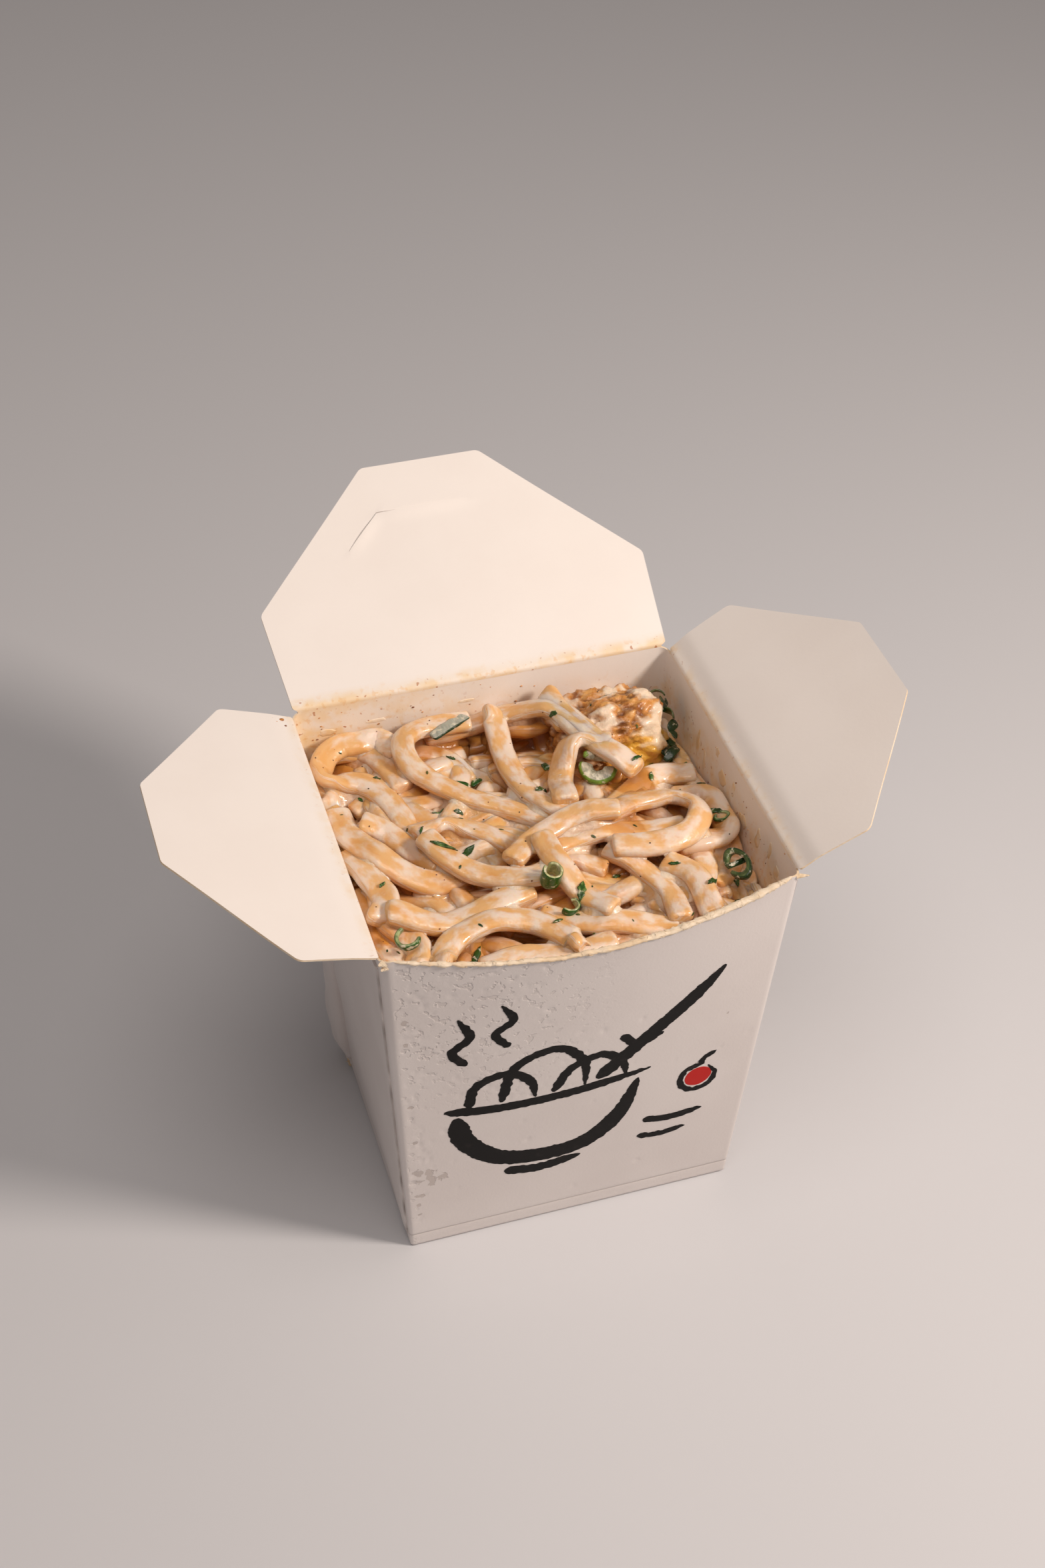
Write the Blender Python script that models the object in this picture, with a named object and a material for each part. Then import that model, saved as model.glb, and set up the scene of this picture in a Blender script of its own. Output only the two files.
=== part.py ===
"""Takeaway carton of creamy ribbon pasta: an open paperboard pail with three flaps and its food.

Metres, +Z up. The origin is the middle of the carton's underside, the front faces -Y and the
back flap is at +Y. The front flap is torn off along its crease, so three hinges are left.
"""
import math
import random

import bmesh
import bpy
from mathutils import Matrix, Vector, noise
from mathutils.bvhtree import BVHTree

MM = 0.001

# Carton, outside sizes
RIM_WIDTH = 100 * MM
RIM_DEPTH = 90 * MM
BASE_WIDTH = 86 * MM
BASE_DEPTH = 73 * MM
HEIGHT = 115 * MM
BOARD = 0.5 * MM
FLOOR = 1.0 * MM            # the floor is two plies
BASE_RADIUS = 1.0 * MM
RIM_RADIUS = 3.0 * MM
FRONT_BULGE = 6.0 * MM      # the food pushes the flapless front wall out
FRONT_DIP = 5.0 * MM        # how far the tear runs below the crease in the middle
TEAR_ROUGHNESS = 0.35 * MM

# Hinges: the side flaps hang a little lower than the back flap, so that they close under it
SIDE_HINGE_DROP = 0.9 * MM
CREASE_GAP = 0.8 * MM       # wall top below its hinge axis
FLAP_GAP = 0.45 * MM        # flap edge from its hinge axis

# Flap outlines: half lengths along the hinge and distances out from it
SIDE_FLAP = {"root": 43.0 * MM, "ear": 44.3 * MM, "ear_out": 18.6 * MM, "tip": 13.6 * MM, "out": 43.4 * MM}
BACK_FLAP = {"root": 49.0 * MM, "ear": 51.0 * MM, "ear_out": 27.4 * MM, "tip": 16.0 * MM, "out": 65.8 * MM}
FLAP_CORNER = 2.6 * MM
OPEN_LEFT = math.radians(17.7)      # above the horizontal
OPEN_RIGHT = math.radians(29.8)
OPEN_BACK = math.radians(24.1)
SLIT_WIDTH = 0.5 * MM
SLIT = ((-24.5 * MM, 42.0 * MM), (-15.0 * MM, 51.8 * MM), (9.5 * MM, 51.8 * MM))

# Gussets: the corner plies folded over the two side walls
GUSSET_PLY = 0.6 * MM
GUSSET_MARGIN = 1.5 * MM
GUSSET_TOP = 5.0 * MM               # below the rim
GUSSET_BACK_FOOT = 0.35             # share of the height where the fold line meets the back edge
SINK = 0.2 * MM                     # how far a ply is let into the wall it is glued to
LOOP_PROUD = 3.4 * MM               # the ply that springs open at the back left corner
LOOP_WIDTH = 9.0 * MM
LOOP_FOOT = 2.5 * MM
LOOP_TOP = 75 * MM
LOOP_FADE = 86 * MM                 # height where the ply would lie flat on the wall again
LOOP_EDGE = 0.6                     # share of the gusset margin that it reaches past

# Food
CLEARANCE = 0.35 * MM
NOODLE_WIDTH = 5.7 * MM
NOODLE_THICKNESS = 3.5 * MM
NOODLE_SEGMENTS = 18
NOODLE_PRESS = 0.72                 # crossing noodles sink into each other to this share
FOOD_TOP = 111.4 * MM
CORE_TOP = 101.5 * MM
RIGHT_SINK = 5.5 * MM               # the heap falls away towards the right wall and the back
RIGHT_SLOPE = (26 * MM, 49 * MM)
BACK_SINK = 2.5 * MM
BACK_SLOPE = (15 * MM, 44 * MM)
LUMP = 1.0 * MM
LUMP_SIZE = 9 * MM
NOODLE_ROLL = 14                    # degrees, the most that a noodle is turned about its length
CHUNK_CENTRE = Vector((31.5, 30.5, 99.8)) * MM
CHUNK_RADII = Vector((15.8, 12.8, 10.6)) * MM
CHUNK_FLAT = 4.0 * MM               # the chunk rests on a flat this far below its centre
SEAT_EDGE = (1.12, 1.35)            # the core's flat seat for it ends here, in chunk radii
CHUNK_CRAGS = ((1.6, 0.16), (4.1, 0.09))    # how often and how deep its crust is broken
DROP_STEP = 0.1 * MM
SEED = 7

# Noodles that show, laid in this order, each a route over the box in millimetres
NOODLES = (
    ((-44, 41), (-36, 41), (-30, 35), (-27, 22)),
    ((3, 40), (9, 35), (15, 36), (17, 27)),
    ((12, -19), (4, -14), (-6, -18), (-17, -23)),
    ((-46, -10), (-46, -24), (-43, -37)),
    ((-42, -10), (-43, -24), (-38, -33), (-42, -42)),
    ((46, -8), (43, -20), (35, -29)),
    ((44, 12), (45, 4), (44, -4)),
    ((34, -14), (35, -23), (31, -33), (33, -42)),
    ((-46, 2), (-44, -10), (-42, -19), (-46, -26)),
    ((-26, -42), (-17, -41), (-5, -43), (6, -42)),
    ((-17, 41), (-5, 41), (8, 38), (17, 31), (22, 18)),
    ((-25, 34), (-31, 41), (-42, 38), (-45, 30), (-36, 26), (-31, 16), (-30, 5)),
    ((-46, 17), (-44, 4), (-38, -7), (-29, -13), (-19, -11)),
    ((-41, 9), (-36, 6), (-31, -2), (-26, -9)),
    ((-5, 39), (-18, 39), (-24, 34), (-23, 25), (-14, 15), (-4, 7), (6, -2)),
    ((45, 10), (35, 11), (27, 6), (20, 1), (13, -3)),
    ((-43, -25), (-32, -28), (-21, -26), (-8, -23)),
    ((-8, -29), (2, -36), (12, -39), (21, -43)),
    ((36, 3), (44, 0), (46, -7), (44, -14), (37, -17), (30, -17)),
    ((13, -14), (19, -21), (23, -31), (22, -42)),
    ((25, -22), (30, -29), (30, -42)),
    ((-30, 2), (-21, 6), (-13, 1), (-5, -7)),
    ((-28, -1), (-24, -10), (-17, -17), (-8, -21), (1, -18)),
    ((-2, -11), (9, -9), (22, -10), (34, -12)),
    ((15, -6), (25, -1), (35, -1), (39, -8), (34, -16), (25, -18), (14, -16)),
    ((-36, -43), (-31, -35), (-21, -31), (-11, -33), (-4, -41), (-3, -46)),
    ((1, 41), (0, 27), (1, 14), (4, 5), (9, -3)),
    ((12, 41), (15, 28), (21, 16), (28, 7)),
    ((8, 1), (11, 14), (17, 20), (25, 17)),
    ((-11, -16), (-3, -9), (8, -5), (19, -7)),
    ((-2, -10), (-1, -20), (3, -29), (8, -36)),
)


def mix(a, b, share):
    return a + (b - a) * share


def smooth_step(value, low, high):
    share = min(max((value - low) / (high - low), 0.0), 1.0)
    return share * share * (3 - 2 * share)


def clear_scene():
    for obj in list(bpy.data.objects):
        bpy.data.objects.remove(obj)


def make_material(name, colour, roughness, metallic=0.0):
    material = bpy.data.materials.new(name)
    material.use_nodes = True
    shader = material.node_tree.nodes["Principled BSDF"]
    shader.inputs["Base Color"].default_value = (*colour, 1.0)
    shader.inputs["Roughness"].default_value = roughness
    shader.inputs["Metallic"].default_value = metallic
    return material


def add_object(name, verts, faces, material=None):
    mesh = bpy.data.meshes.new(name)
    mesh.from_pydata([tuple(v) for v in verts], [], faces)
    obj = bpy.data.objects.new(name, mesh)
    bpy.context.scene.collection.objects.link(obj)
    if material:
        mesh.materials.append(material)
    return obj


def point_outwards(obj):
    """Faces of a closed mesh turned outwards."""
    bm = bmesh.new()
    bm.from_mesh(obj.data)
    bmesh.ops.recalc_face_normals(bm, faces=bm.faces)
    bm.to_mesh(obj.data)
    bm.free()


def combine(obj, others, operation):
    """One applied Boolean of obj with a collection of others, which are then removed."""
    group = bpy.data.collections.new(obj.name + "_parts")
    bpy.context.scene.collection.children.link(group)
    for other in others:
        bpy.context.scene.collection.objects.unlink(other)
        group.objects.link(other)
    modifier = obj.modifiers.new(operation.lower(), "BOOLEAN")
    modifier.operation = operation
    modifier.operand_type = "COLLECTION"
    modifier.collection = group
    modifier.solver = "EXACT"
    bpy.context.view_layer.objects.active = obj
    bpy.ops.object.modifier_apply(modifier=modifier.name)
    for other in others:
        bpy.data.objects.remove(other)
    bpy.data.collections.remove(group)


def keep_largest_shell(obj):
    """Fills hollows that fusing has sealed and drops loose scraps: only the outer shell stays."""
    bm = bmesh.new()
    bm.from_mesh(obj.data)
    left = set(bm.faces)
    shells = []
    while left:
        stack = [left.pop()]
        shell = set(stack)
        while stack:
            face = stack.pop()
            for edge in face.edges:
                for near in edge.link_faces:
                    if near in left:
                        left.remove(near)
                        shell.add(near)
                        stack.append(near)
        shells.append(shell)
    outer = max(shells, key=len)
    bmesh.ops.delete(bm, geom=[f for f in bm.faces if f not in outer], context="FACES")
    bmesh.ops.triangulate(bm, faces=bm.faces)
    bm.to_mesh(obj.data)
    bm.free()


# Carton walls

SIDE_STEPS = 8
CORNER_STEPS = 3
FRONT, RIGHT, BACK, LEFT = range(4)
CORNER_SIGNS = ((1, -1), (1, 1), (-1, 1), (-1, -1))     # corner that follows each side
LEVELS = (0.0, 0.12, 0.3, 0.5, 0.7, 0.86, 1.0)


def perimeter():
    """Stations round the carton from the front left corner: a side or corner, and the share along it."""
    stations = []
    for side in range(4):
        stations += [("side", side, i / SIDE_STEPS) for i in range(SIDE_STEPS + 1)]
        stations += [("corner", side, i / CORNER_STEPS) for i in range(1, CORNER_STEPS)]
    return stations


def bow(station):
    """How much of the front wall's bulge and dip a station has, from 0 at the corners to 1."""
    kind, side, share = station
    return math.sin(math.pi * share) if kind == "side" and side == FRONT else 0.0


def wall_point(station, z, inset):
    """A point on the wall at height z, set in by inset from the outside."""
    kind, side, share = station
    rise = z / HEIGHT
    half_x = mix(BASE_WIDTH, RIM_WIDTH, rise) / 2 - inset
    half_y = mix(BASE_DEPTH, RIM_DEPTH, rise) / 2 - inset
    radius = max(mix(BASE_RADIUS, RIM_RADIUS, rise) - inset, 0.3 * MM)
    end_x, end_y = CORNER_SIGNS[side]
    if kind == "corner":
        angle = math.radians(90) * (side - 1 + share)
        return Vector((end_x * (half_x - radius) + radius * math.cos(angle),
                       end_y * (half_y - radius) + radius * math.sin(angle), z))
    start_x, start_y = CORNER_SIGNS[side - 1]
    across = mix(start_x, end_x, share) * (half_x - radius)
    along = mix(start_y, end_y, share) * (half_y - radius)
    if side in (FRONT, BACK):
        along = half_y if side == BACK else -half_y - FRONT_BULGE * rise ** 1.5 * bow(station)
    else:
        across = half_x if side == RIGHT else -half_x
    return Vector((across, along, z))


def rim_height(index, station):
    """Where the wall ends: below the hinges, and along the torn front edge."""
    kind, side, share = station
    side_top = HEIGHT - SIDE_HINGE_DROP - CREASE_GAP
    back_top = HEIGHT - CREASE_GAP
    corner_top = HEIGHT - CREASE_GAP
    if kind == "side" and side == FRONT:
        rough = TEAR_ROUGHNESS * noise.noise(Vector((index * 1.7, SEED, 0)))
        return corner_top - FRONT_DIP * bow(station) ** 0.8 + rough * (1 if 0 < share < 1 else 0)
    if kind == "side":
        return back_top if side == BACK else side_top
    ends = {FRONT: (corner_top, side_top), RIGHT: (side_top, back_top),
            BACK: (back_top, side_top), LEFT: (side_top, corner_top)}[side]
    return mix(*ends, share)


def make_carton(material):
    stations = perimeter()
    count = len(stations)
    tops = [rim_height(i, s) for i, s in enumerate(stations)]
    verts = []
    for inset, foot in ((0.0, 0.0), (BOARD, FLOOR)):
        for level in LEVELS:
            verts += [wall_point(s, mix(foot, top, level), inset) for s, top in zip(stations, tops)]
    faces = []
    inner = len(LEVELS) * count
    for ring in range(len(LEVELS) - 1):
        for i in range(count):
            j = (i + 1) % count
            low, high = ring * count, (ring + 1) * count
            faces.append((low + i, low + j, high + j, high + i))
            faces.append((inner + low + j, inner + low + i, inner + high + i, inner + high + j))
    top = (len(LEVELS) - 1) * count
    for i in range(count):
        j = (i + 1) % count
        faces.append((top + i, top + j, inner + top + j, inner + top + i))
    faces.append(tuple(reversed(range(count))))
    faces.append(tuple(range(inner, inner + count)))
    carton = add_object("carton", verts, faces, material)
    point_outwards(carton)
    combine(carton, [gusset_ply(-1), gusset_ply(1), sprung_ply()], "UNION")
    keep_largest_shell(carton)
    return carton


def side_wall_x(sign, z, proud):
    """X of a side wall's outer face at height z, moved out by proud."""
    return sign * (mix(BASE_WIDTH, RIM_WIDTH, z / HEIGHT) / 2 + proud)


def back_edge_y(z):
    return mix(BASE_DEPTH, RIM_DEPTH, z / HEIGHT) / 2 - GUSSET_MARGIN - BASE_RADIUS


def gusset_ply(sign):
    """The folded corner ply on one side wall: from the front edge back to its slanting fold line."""
    top = HEIGHT - GUSSET_TOP
    foot = 3 * MM
    fold_end = GUSSET_BACK_FOOT * HEIGHT
    outline = ((-back_edge_y(foot), foot), (back_edge_y(fold_end), fold_end),
               (back_edge_y(top), top), (-back_edge_y(top), top))
    verts = [Vector((side_wall_x(sign, z, proud), y, z)) for proud in (-SINK, GUSSET_PLY) for y, z in outline]
    faces = [(0, 1, 2, 3), (4, 5, 6, 7), (0, 1, 5, 4), (1, 2, 6, 5), (2, 3, 7, 6), (3, 0, 4, 7)]
    ply = add_object("gusset_ply", verts, faces)
    point_outwards(ply)
    return ply


def sprung_ply():
    """The back left corner's ply, standing off the wall in a flat arch that is open at both ends."""
    levels, arc = 7, 8
    verts = []
    for skin in (0.0, BOARD):
        for i in range(levels):
            z = mix(LOOP_FOOT, LOOP_TOP, i / (levels - 1))
            lift = LOOP_PROUD * (1 - (z / LOOP_FADE) ** 2)
            end = back_edge_y(z) + GUSSET_MARGIN * LOOP_EDGE
            for k in range(arc + 1):
                angle = math.pi * k / arc
                y = end - LOOP_WIDTH / 2 * (1 + math.cos(angle)) - skin * math.cos(angle)
                out = (lift - BOARD + skin) * math.sin(angle) - SINK
                verts.append(Vector((side_wall_x(-1, z, out), y, z)))
    row = arc + 1
    block = levels * row
    faces = []
    for i in range(levels - 1):
        for k in range(arc):
            a = i * row + k
            faces.append((a, a + 1, a + row + 1, a + row))
            faces.append((block + a, block + a + 1, block + a + row + 1, block + a + row))
        for k in (0, arc):
            a = i * row + k
            faces.append((a, a + row, block + a + row, block + a))
    for i in (0, levels - 1):
        for k in range(arc):
            a = i * row + k
            faces.append((a, a + 1, block + a + 1, block + a))
    ply = add_object("sprung_ply", verts, faces)
    point_outwards(ply)
    return ply


# Flaps

def round_corners(points, radius, steps=5):
    """Closed outline with an arc of the given radius in each corner."""
    outline = []
    for i, corner in enumerate(points):
        corner = Vector(corner)
        before = (Vector(points[i - 1]) - corner).normalized()
        after = (Vector(points[(i + 1) % len(points)]) - corner).normalized()
        half = before.angle(after) / 2
        centre = corner + (before + after).normalized() * (radius / math.sin(half))
        start = corner + before * (radius / math.tan(half)) - centre
        turn = start.angle_signed(corner + after * (radius / math.tan(half)) - centre)
        for k in range(steps + 1):
            outline.append(centre + Matrix.Rotation(-turn * k / steps, 2) @ start)
    return outline


def plate(name, outline, thickness, material):
    """A flat sheet over an outline in its own XY plane, centred on z = 0."""
    count = len(outline)
    verts = [Vector((p.x, p.y, z)) for z in (-thickness / 2, thickness / 2) for p in outline]
    faces = [tuple(range(count)), tuple(range(count, 2 * count))]
    faces += [(i, (i + 1) % count, count + (i + 1) % count, count + i) for i in range(count)]
    obj = add_object(name, verts, faces, material)
    point_outwards(obj)
    return obj


def make_flap(name, size, place, open_angle, heading, material):
    """A flap in its own frame: x along the hinge, y out from it; open_angle lifts it."""
    low = FLAP_GAP
    corners = [(-size["root"], low), (size["root"], low), (size["ear"], size["ear_out"]),
               (size["tip"], size["out"]), (-size["tip"], size["out"]), (-size["ear"], size["ear_out"])]
    outline = [Vector(c) for c in corners[:2]] + round_corners(corners, FLAP_CORNER)[12:]
    flap = plate(name, outline, BOARD, material)
    flap.location = place
    flap.rotation_euler = (open_angle, 0, heading)
    return flap


def cut_lock_slit(flap):
    """The bent slit that once took the front flap's tongue."""
    a, b, c = (Vector(p) for p in SLIT)
    side_ab = (b - a).normalized().orthogonal() * SLIT_WIDTH / 2
    side_bc = (c - b).normalized().orthogonal() * SLIT_WIDTH / 2
    joint = (side_ab + side_bc) / 2
    outline = [a - side_ab, b - joint, c - side_bc, c + side_bc, b + joint, a + side_ab]
    cutter = plate("slit", outline, 4 * BOARD, None)
    combine(flap, [cutter], "DIFFERENCE")


def make_flaps(material):
    side_z = HEIGHT - SIDE_HINGE_DROP
    side_x = (RIM_WIDTH - BOARD) / 2
    quarter = math.radians(90)
    make_flap("flap_left", SIDE_FLAP, (-side_x, 0, side_z), OPEN_LEFT, quarter, material)
    make_flap("flap_right", SIDE_FLAP, (side_x, 0, side_z), OPEN_RIGHT, -quarter, material)
    back = make_flap("flap_back", BACK_FLAP, (0, (RIM_DEPTH - BOARD) / 2, HEIGHT), OPEN_BACK, 0, material)
    cut_lock_slit(back)


# Food

def core_height(x, y):
    """Top of the packed pasta under the noodles that show, sunk at the right wall and back left."""
    level = CORE_TOP
    level -= RIGHT_SINK * smooth_step(x, *RIGHT_SLOPE)
    level -= BACK_SINK * smooth_step(y, *BACK_SLOPE)
    level += LUMP * noise.noise(Vector((x, y, 0)) / LUMP_SIZE)
    away = math.hypot((x - CHUNK_CENTRE.x) / CHUNK_RADII.x, (y - CHUNK_CENTRE.y) / CHUNK_RADII.y)
    seat = CHUNK_CENTRE.z - CHUNK_FLAT - 2 * CLEARANCE
    return mix(min(level, seat), level, smooth_step(away, *SEAT_EDGE))


def make_core():
    stations = perimeter()
    count = len(stations)
    inset = BOARD + CLEARANCE
    foot = FLOOR + CLEARANCE
    edge = [wall_point(s, core_height(*wall_point(s, CORE_TOP, inset).xy), inset) for s in stations]
    verts = []
    for level in LEVELS:
        verts += [wall_point(s, mix(foot, top.z, level), inset) for s, top in zip(stations, edge)]
    rings = 9
    for ring in range(1, rings):
        for top in edge:
            x, y = top.xy * (1 - ring / rings)
            verts.append(Vector((x, y, core_height(x, y))))
    verts.append(Vector((0, 0, core_height(0, 0))))
    faces = [tuple(reversed(range(count)))]
    rows = len(LEVELS) + rings - 1
    for row in range(rows - 1):
        for i in range(count):
            j = (i + 1) % count
            faces.append((row * count + i, row * count + j, (row + 1) * count + j, (row + 1) * count + i))
    last = (rows - 1) * count
    faces += [(last + i, last + (i + 1) % count, len(verts) - 1) for i in range(count)]
    core = add_object("pasta", verts, faces)
    point_outwards(core)
    return core


def along_route(route, count):
    """Evenly spaced points on a smooth curve through a noodle's route, in metres."""
    points = [Vector(p) * MM for p in route]
    points = [points[0] * 2 - points[1]] + points + [points[-1] * 2 - points[-2]]
    dense = []
    for a, b, c, d in zip(points, points[1:], points[2:], points[3:]):
        for i in range(12):
            t = i / 12
            dense.append(0.5 * (2 * b + (c - a) * t + (2 * a - 5 * b + 4 * c - d) * t * t
                                + (3 * b - a - 3 * c + d) * t ** 3))
    dense.append(points[-2])
    lengths = [0.0]
    for p, q in zip(dense, dense[1:]):
        lengths.append(lengths[-1] + (q - p).length)
    even = []
    k = 0
    for i in range(count + 1):
        want = lengths[-1] * i / count
        while k < len(dense) - 2 and lengths[k + 1] < want:
            k += 1
        even.append(dense[k].lerp(dense[k + 1], (want - lengths[k]) / (lengths[k + 1] - lengths[k])))
    return even


def keep_inside(point):
    """A noodle's middle line kept clear of the walls, as they stand at the height of the core's top."""
    rise = CORE_TOP / HEIGHT
    edge = BOARD + 2 * CLEARANCE + NOODLE_WIDTH / 2
    half_x = mix(BASE_WIDTH, RIM_WIDTH, rise) / 2 - edge
    half_y = mix(BASE_DEPTH, RIM_DEPTH, rise) / 2 - edge
    front = -half_y - FRONT_BULGE * rise ** 2 * math.cos(math.pi * point.x / RIM_WIDTH)
    return Vector((min(max(point.x, -half_x), half_x), min(max(point.y, front), half_y)))


def chunk_support(point):
    """Height that a noodle's middle needs to pass over the chunk."""
    spare = NOODLE_THICKNESS / 2 + CLEARANCE + 0.8 * MM
    margin = NOODLE_WIDTH / 2 + 0.4 * MM
    away = Vector(((point.x - CHUNK_CENTRE.x) / (CHUNK_RADII.x + margin),
                   (point.y - CHUNK_CENTRE.y) / (CHUNK_RADII.y + margin))).length
    if away >= 1:
        return 0.0
    return CHUNK_CENTRE.z + (CHUNK_RADII.z + spare) * math.sqrt(1 - away * away)


def lay_noodle(route, laid):
    """Middle line of a noodle that rests on the core and on the noodles laid before it."""
    flat = [keep_inside(p) for p in along_route(route, NOODLE_SEGMENTS)]
    need = []
    for p in flat:
        height = max(core_height(*p) + NOODLE_THICKNESS * 0.3, chunk_support(p))
        for q in laid:
            gap = (q.xy - p).length / NOODLE_WIDTH
            if gap < 1:
                height = max(height, q.z + NOODLE_THICKNESS * NOODLE_PRESS * math.sqrt(1 - gap * gap))
        need.append(height)
    heights = list(need)
    for _ in range(25):
        padded = [heights[0]] + heights + [heights[-1]]
        eased = [(a + 2 * b + c) / 4 for a, b, c in zip(padded, padded[1:], padded[2:])]
        heights = [max(n, e) for n, e in zip(need, eased)]
    limit = FOOD_TOP - NOODLE_THICKNESS / 2
    return [Vector((p.x, p.y, min(h, limit))) for p, h in zip(flat, heights)]


def noodle_solid(line, roll):
    """A six-sided ribbon along a middle line, turned by roll about it."""
    w, t = NOODLE_WIDTH / 2, NOODLE_THICKNESS / 2
    section = ((w, 0), (0.62 * w, t), (-0.62 * w, t), (-w, 0), (-0.62 * w, -t), (0.62 * w, -t))
    verts = []
    for i, p in enumerate(line):
        ahead = (line[min(i + 1, len(line) - 1)] - line[max(i - 1, 0)]).normalized()
        side = ahead.cross(Vector((0, 0, 1))).normalized()
        up = side.cross(ahead)
        turned = Matrix.Rotation(roll, 3, ahead)
        shrink = 0.8 if i in (0, len(line) - 1) else 1.0
        verts += [p + turned @ (side * a + up * b) * shrink for a, b in section]
    sides = len(section)
    faces = [tuple(range(sides)), tuple(range(len(verts) - sides, len(verts)))]
    for i in range(len(line) - 1):
        for k in range(sides):
            a, b = i * sides + k, i * sides + (k + 1) % sides
            faces.append((a, b, b + sides, a + sides))
    obj = add_object("noodle", verts, faces)
    point_outwards(obj)
    return obj


def make_pasta(material):
    core = make_core()
    draw = random.Random(SEED)
    laid, noodles = [], []
    for route in NOODLES:
        line = lay_noodle(route, laid)
        noodles.append(noodle_solid(line, math.radians(draw.uniform(-NOODLE_ROLL, NOODLE_ROLL))))
        for p, q in zip(line, line[1:]):
            laid += [p, (p + q) / 2]
    combine(core, noodles, "UNION")
    keep_largest_shell(core)
    core.data.materials.clear()
    core.data.materials.append(material)
    return core


def make_chunk(material):
    """A browned chunk with a craggy crust, flat where it rests."""
    bm = bmesh.new()
    bmesh.ops.create_icosphere(bm, subdivisions=3, radius=1)
    for vert in bm.verts:
        crag = sum(depth * noise.noise(vert.co * often) for often, depth in CHUNK_CRAGS)
        boxy = max(abs(c) for c in vert.co) ** -0.25
        p = vert.co * boxy * 0.92 * (0.93 + min(crag, 0.07))
        vert.co = CHUNK_CENTRE + Matrix.Diagonal(CHUNK_RADII) @ p
        vert.co.z = max(vert.co.z, CHUNK_CENTRE.z - CHUNK_FLAT)
    bmesh.ops.dissolve_degenerate(bm, dist=1e-5, edges=bm.edges)
    mesh = bpy.data.meshes.new("chicken")
    bm.to_mesh(mesh)
    bm.free()
    mesh.materials.append(material)
    chunk = bpy.data.objects.new("chicken", mesh)
    bpy.context.scene.collection.objects.link(chunk)
    point_outwards(chunk)
    return chunk


def band(name, radius, sweep, width, thickness, tilt, material):
    """A short curved strip of vegetable: an arc of the given radius and sweep, stood up by tilt."""
    steps = 10
    verts = []
    for i in range(steps + 1):
        angle = sweep * (i / steps - 0.5)
        fat = 1.0 - 0.45 * abs(2 * i / steps - 1) ** 3
        for across in (-width / 2 * fat, width / 2 * fat):
            for deep in (-thickness / 2, thickness / 2):
                r = radius + deep
                verts.append(Vector((r * math.sin(angle), across, r * math.cos(angle) - radius)))
    faces = [(0, 1, 3, 2), (4 * steps, 4 * steps + 1, 4 * steps + 3, 4 * steps + 2)]
    for i in range(steps):
        a, b = 4 * i, 4 * i + 4
        faces += [(a, a + 1, b + 1, b), (a + 1, a + 3, b + 3, b + 1),
                  (a + 3, a + 2, b + 2, b + 3), (a + 2, a, b, b + 2)]
    obj = add_object(name, verts, faces, material)
    obj.data.transform(Matrix.Rotation(tilt, 4, "X"))
    point_outwards(obj)
    return obj


def drop_onto(obj, x, y, heading, below):
    """Sets a piece down over (x, y): as low as it goes with a clear gap to what is below it."""
    obj.data.transform(Matrix.Rotation(heading, 4, "Z"))
    z = core_height(x, y) - min(v.co.z for v in obj.data.vertices)
    faces = [tuple(p.vertices) for p in obj.data.polygons]
    while True:
        verts = [v.co + Vector((x, y, z)) for v in obj.data.vertices]
        if not any(tree.overlap(BVHTree.FromPolygons(verts, faces)) for tree in below):
            break
        z += DROP_STEP
    obj.data.transform(Matrix.Translation((x, y, z + CLEARANCE)))


def cut_seat(pasta, piece):
    """A hollow in the pasta, open upwards, that a piece pressed into it sits in with a clear gap."""
    bm = bmesh.new()
    middle = sum((v.co for v in piece.data.vertices), Vector()) / len(piece.data.vertices)
    for vert in piece.data.vertices:
        grown = vert.co + (vert.co - middle).normalized() * 2 * CLEARANCE
        bm.verts.new(grown)
        bm.verts.new((grown.x, grown.y, HEIGHT))
    hull = bmesh.ops.convex_hull(bm, input=bm.verts)
    bmesh.ops.delete(bm, geom=[g for g in hull["geom_interior"] if isinstance(g, bmesh.types.BMVert)],
                     context="VERTS")
    mesh = bpy.data.meshes.new("seat")
    bm.to_mesh(mesh)
    bm.free()
    cutter = bpy.data.objects.new("seat", mesh)
    bpy.context.scene.collection.objects.link(cutter)
    point_outwards(cutter)
    combine(pasta, [cutter], "DIFFERENCE")
    keep_largest_shell(pasta)


# Vegetable pieces: radius, sweep and size in millimetres and degrees, where each lies, and how far
# it is pressed into the pasta
GREENS = (
    {"name": "green_stalk", "radius": 40, "sweep": 16, "width": 3.2, "thickness": 1.2, "tilt": 0,
     "at": (-11, 37), "heading": 28, "press": 0.4},
    {"name": "green_ring", "radius": 4.2, "sweep": 200, "width": 3.2, "thickness": 1.1, "tilt": 35,
     "at": (-1, -23), "heading": 75, "press": 4.7},
    {"name": "green_piece", "radius": 7, "sweep": 75, "width": 6.0, "thickness": 2.2, "tilt": 25,
     "at": (18.5, 12), "heading": 60, "press": 0.8},
    {"name": "green_curl", "radius": 4.0, "sweep": 190, "width": 2.4, "thickness": 1.0, "tilt": 55,
     "at": (-38, -34), "heading": 10, "press": 1.5},
    {"name": "green_slice", "radius": 6.5, "sweep": 110, "width": 4.0, "thickness": 1.1, "tilt": 20,
     "at": (42, -24), "heading": 75, "press": 0.0},
)


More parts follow.
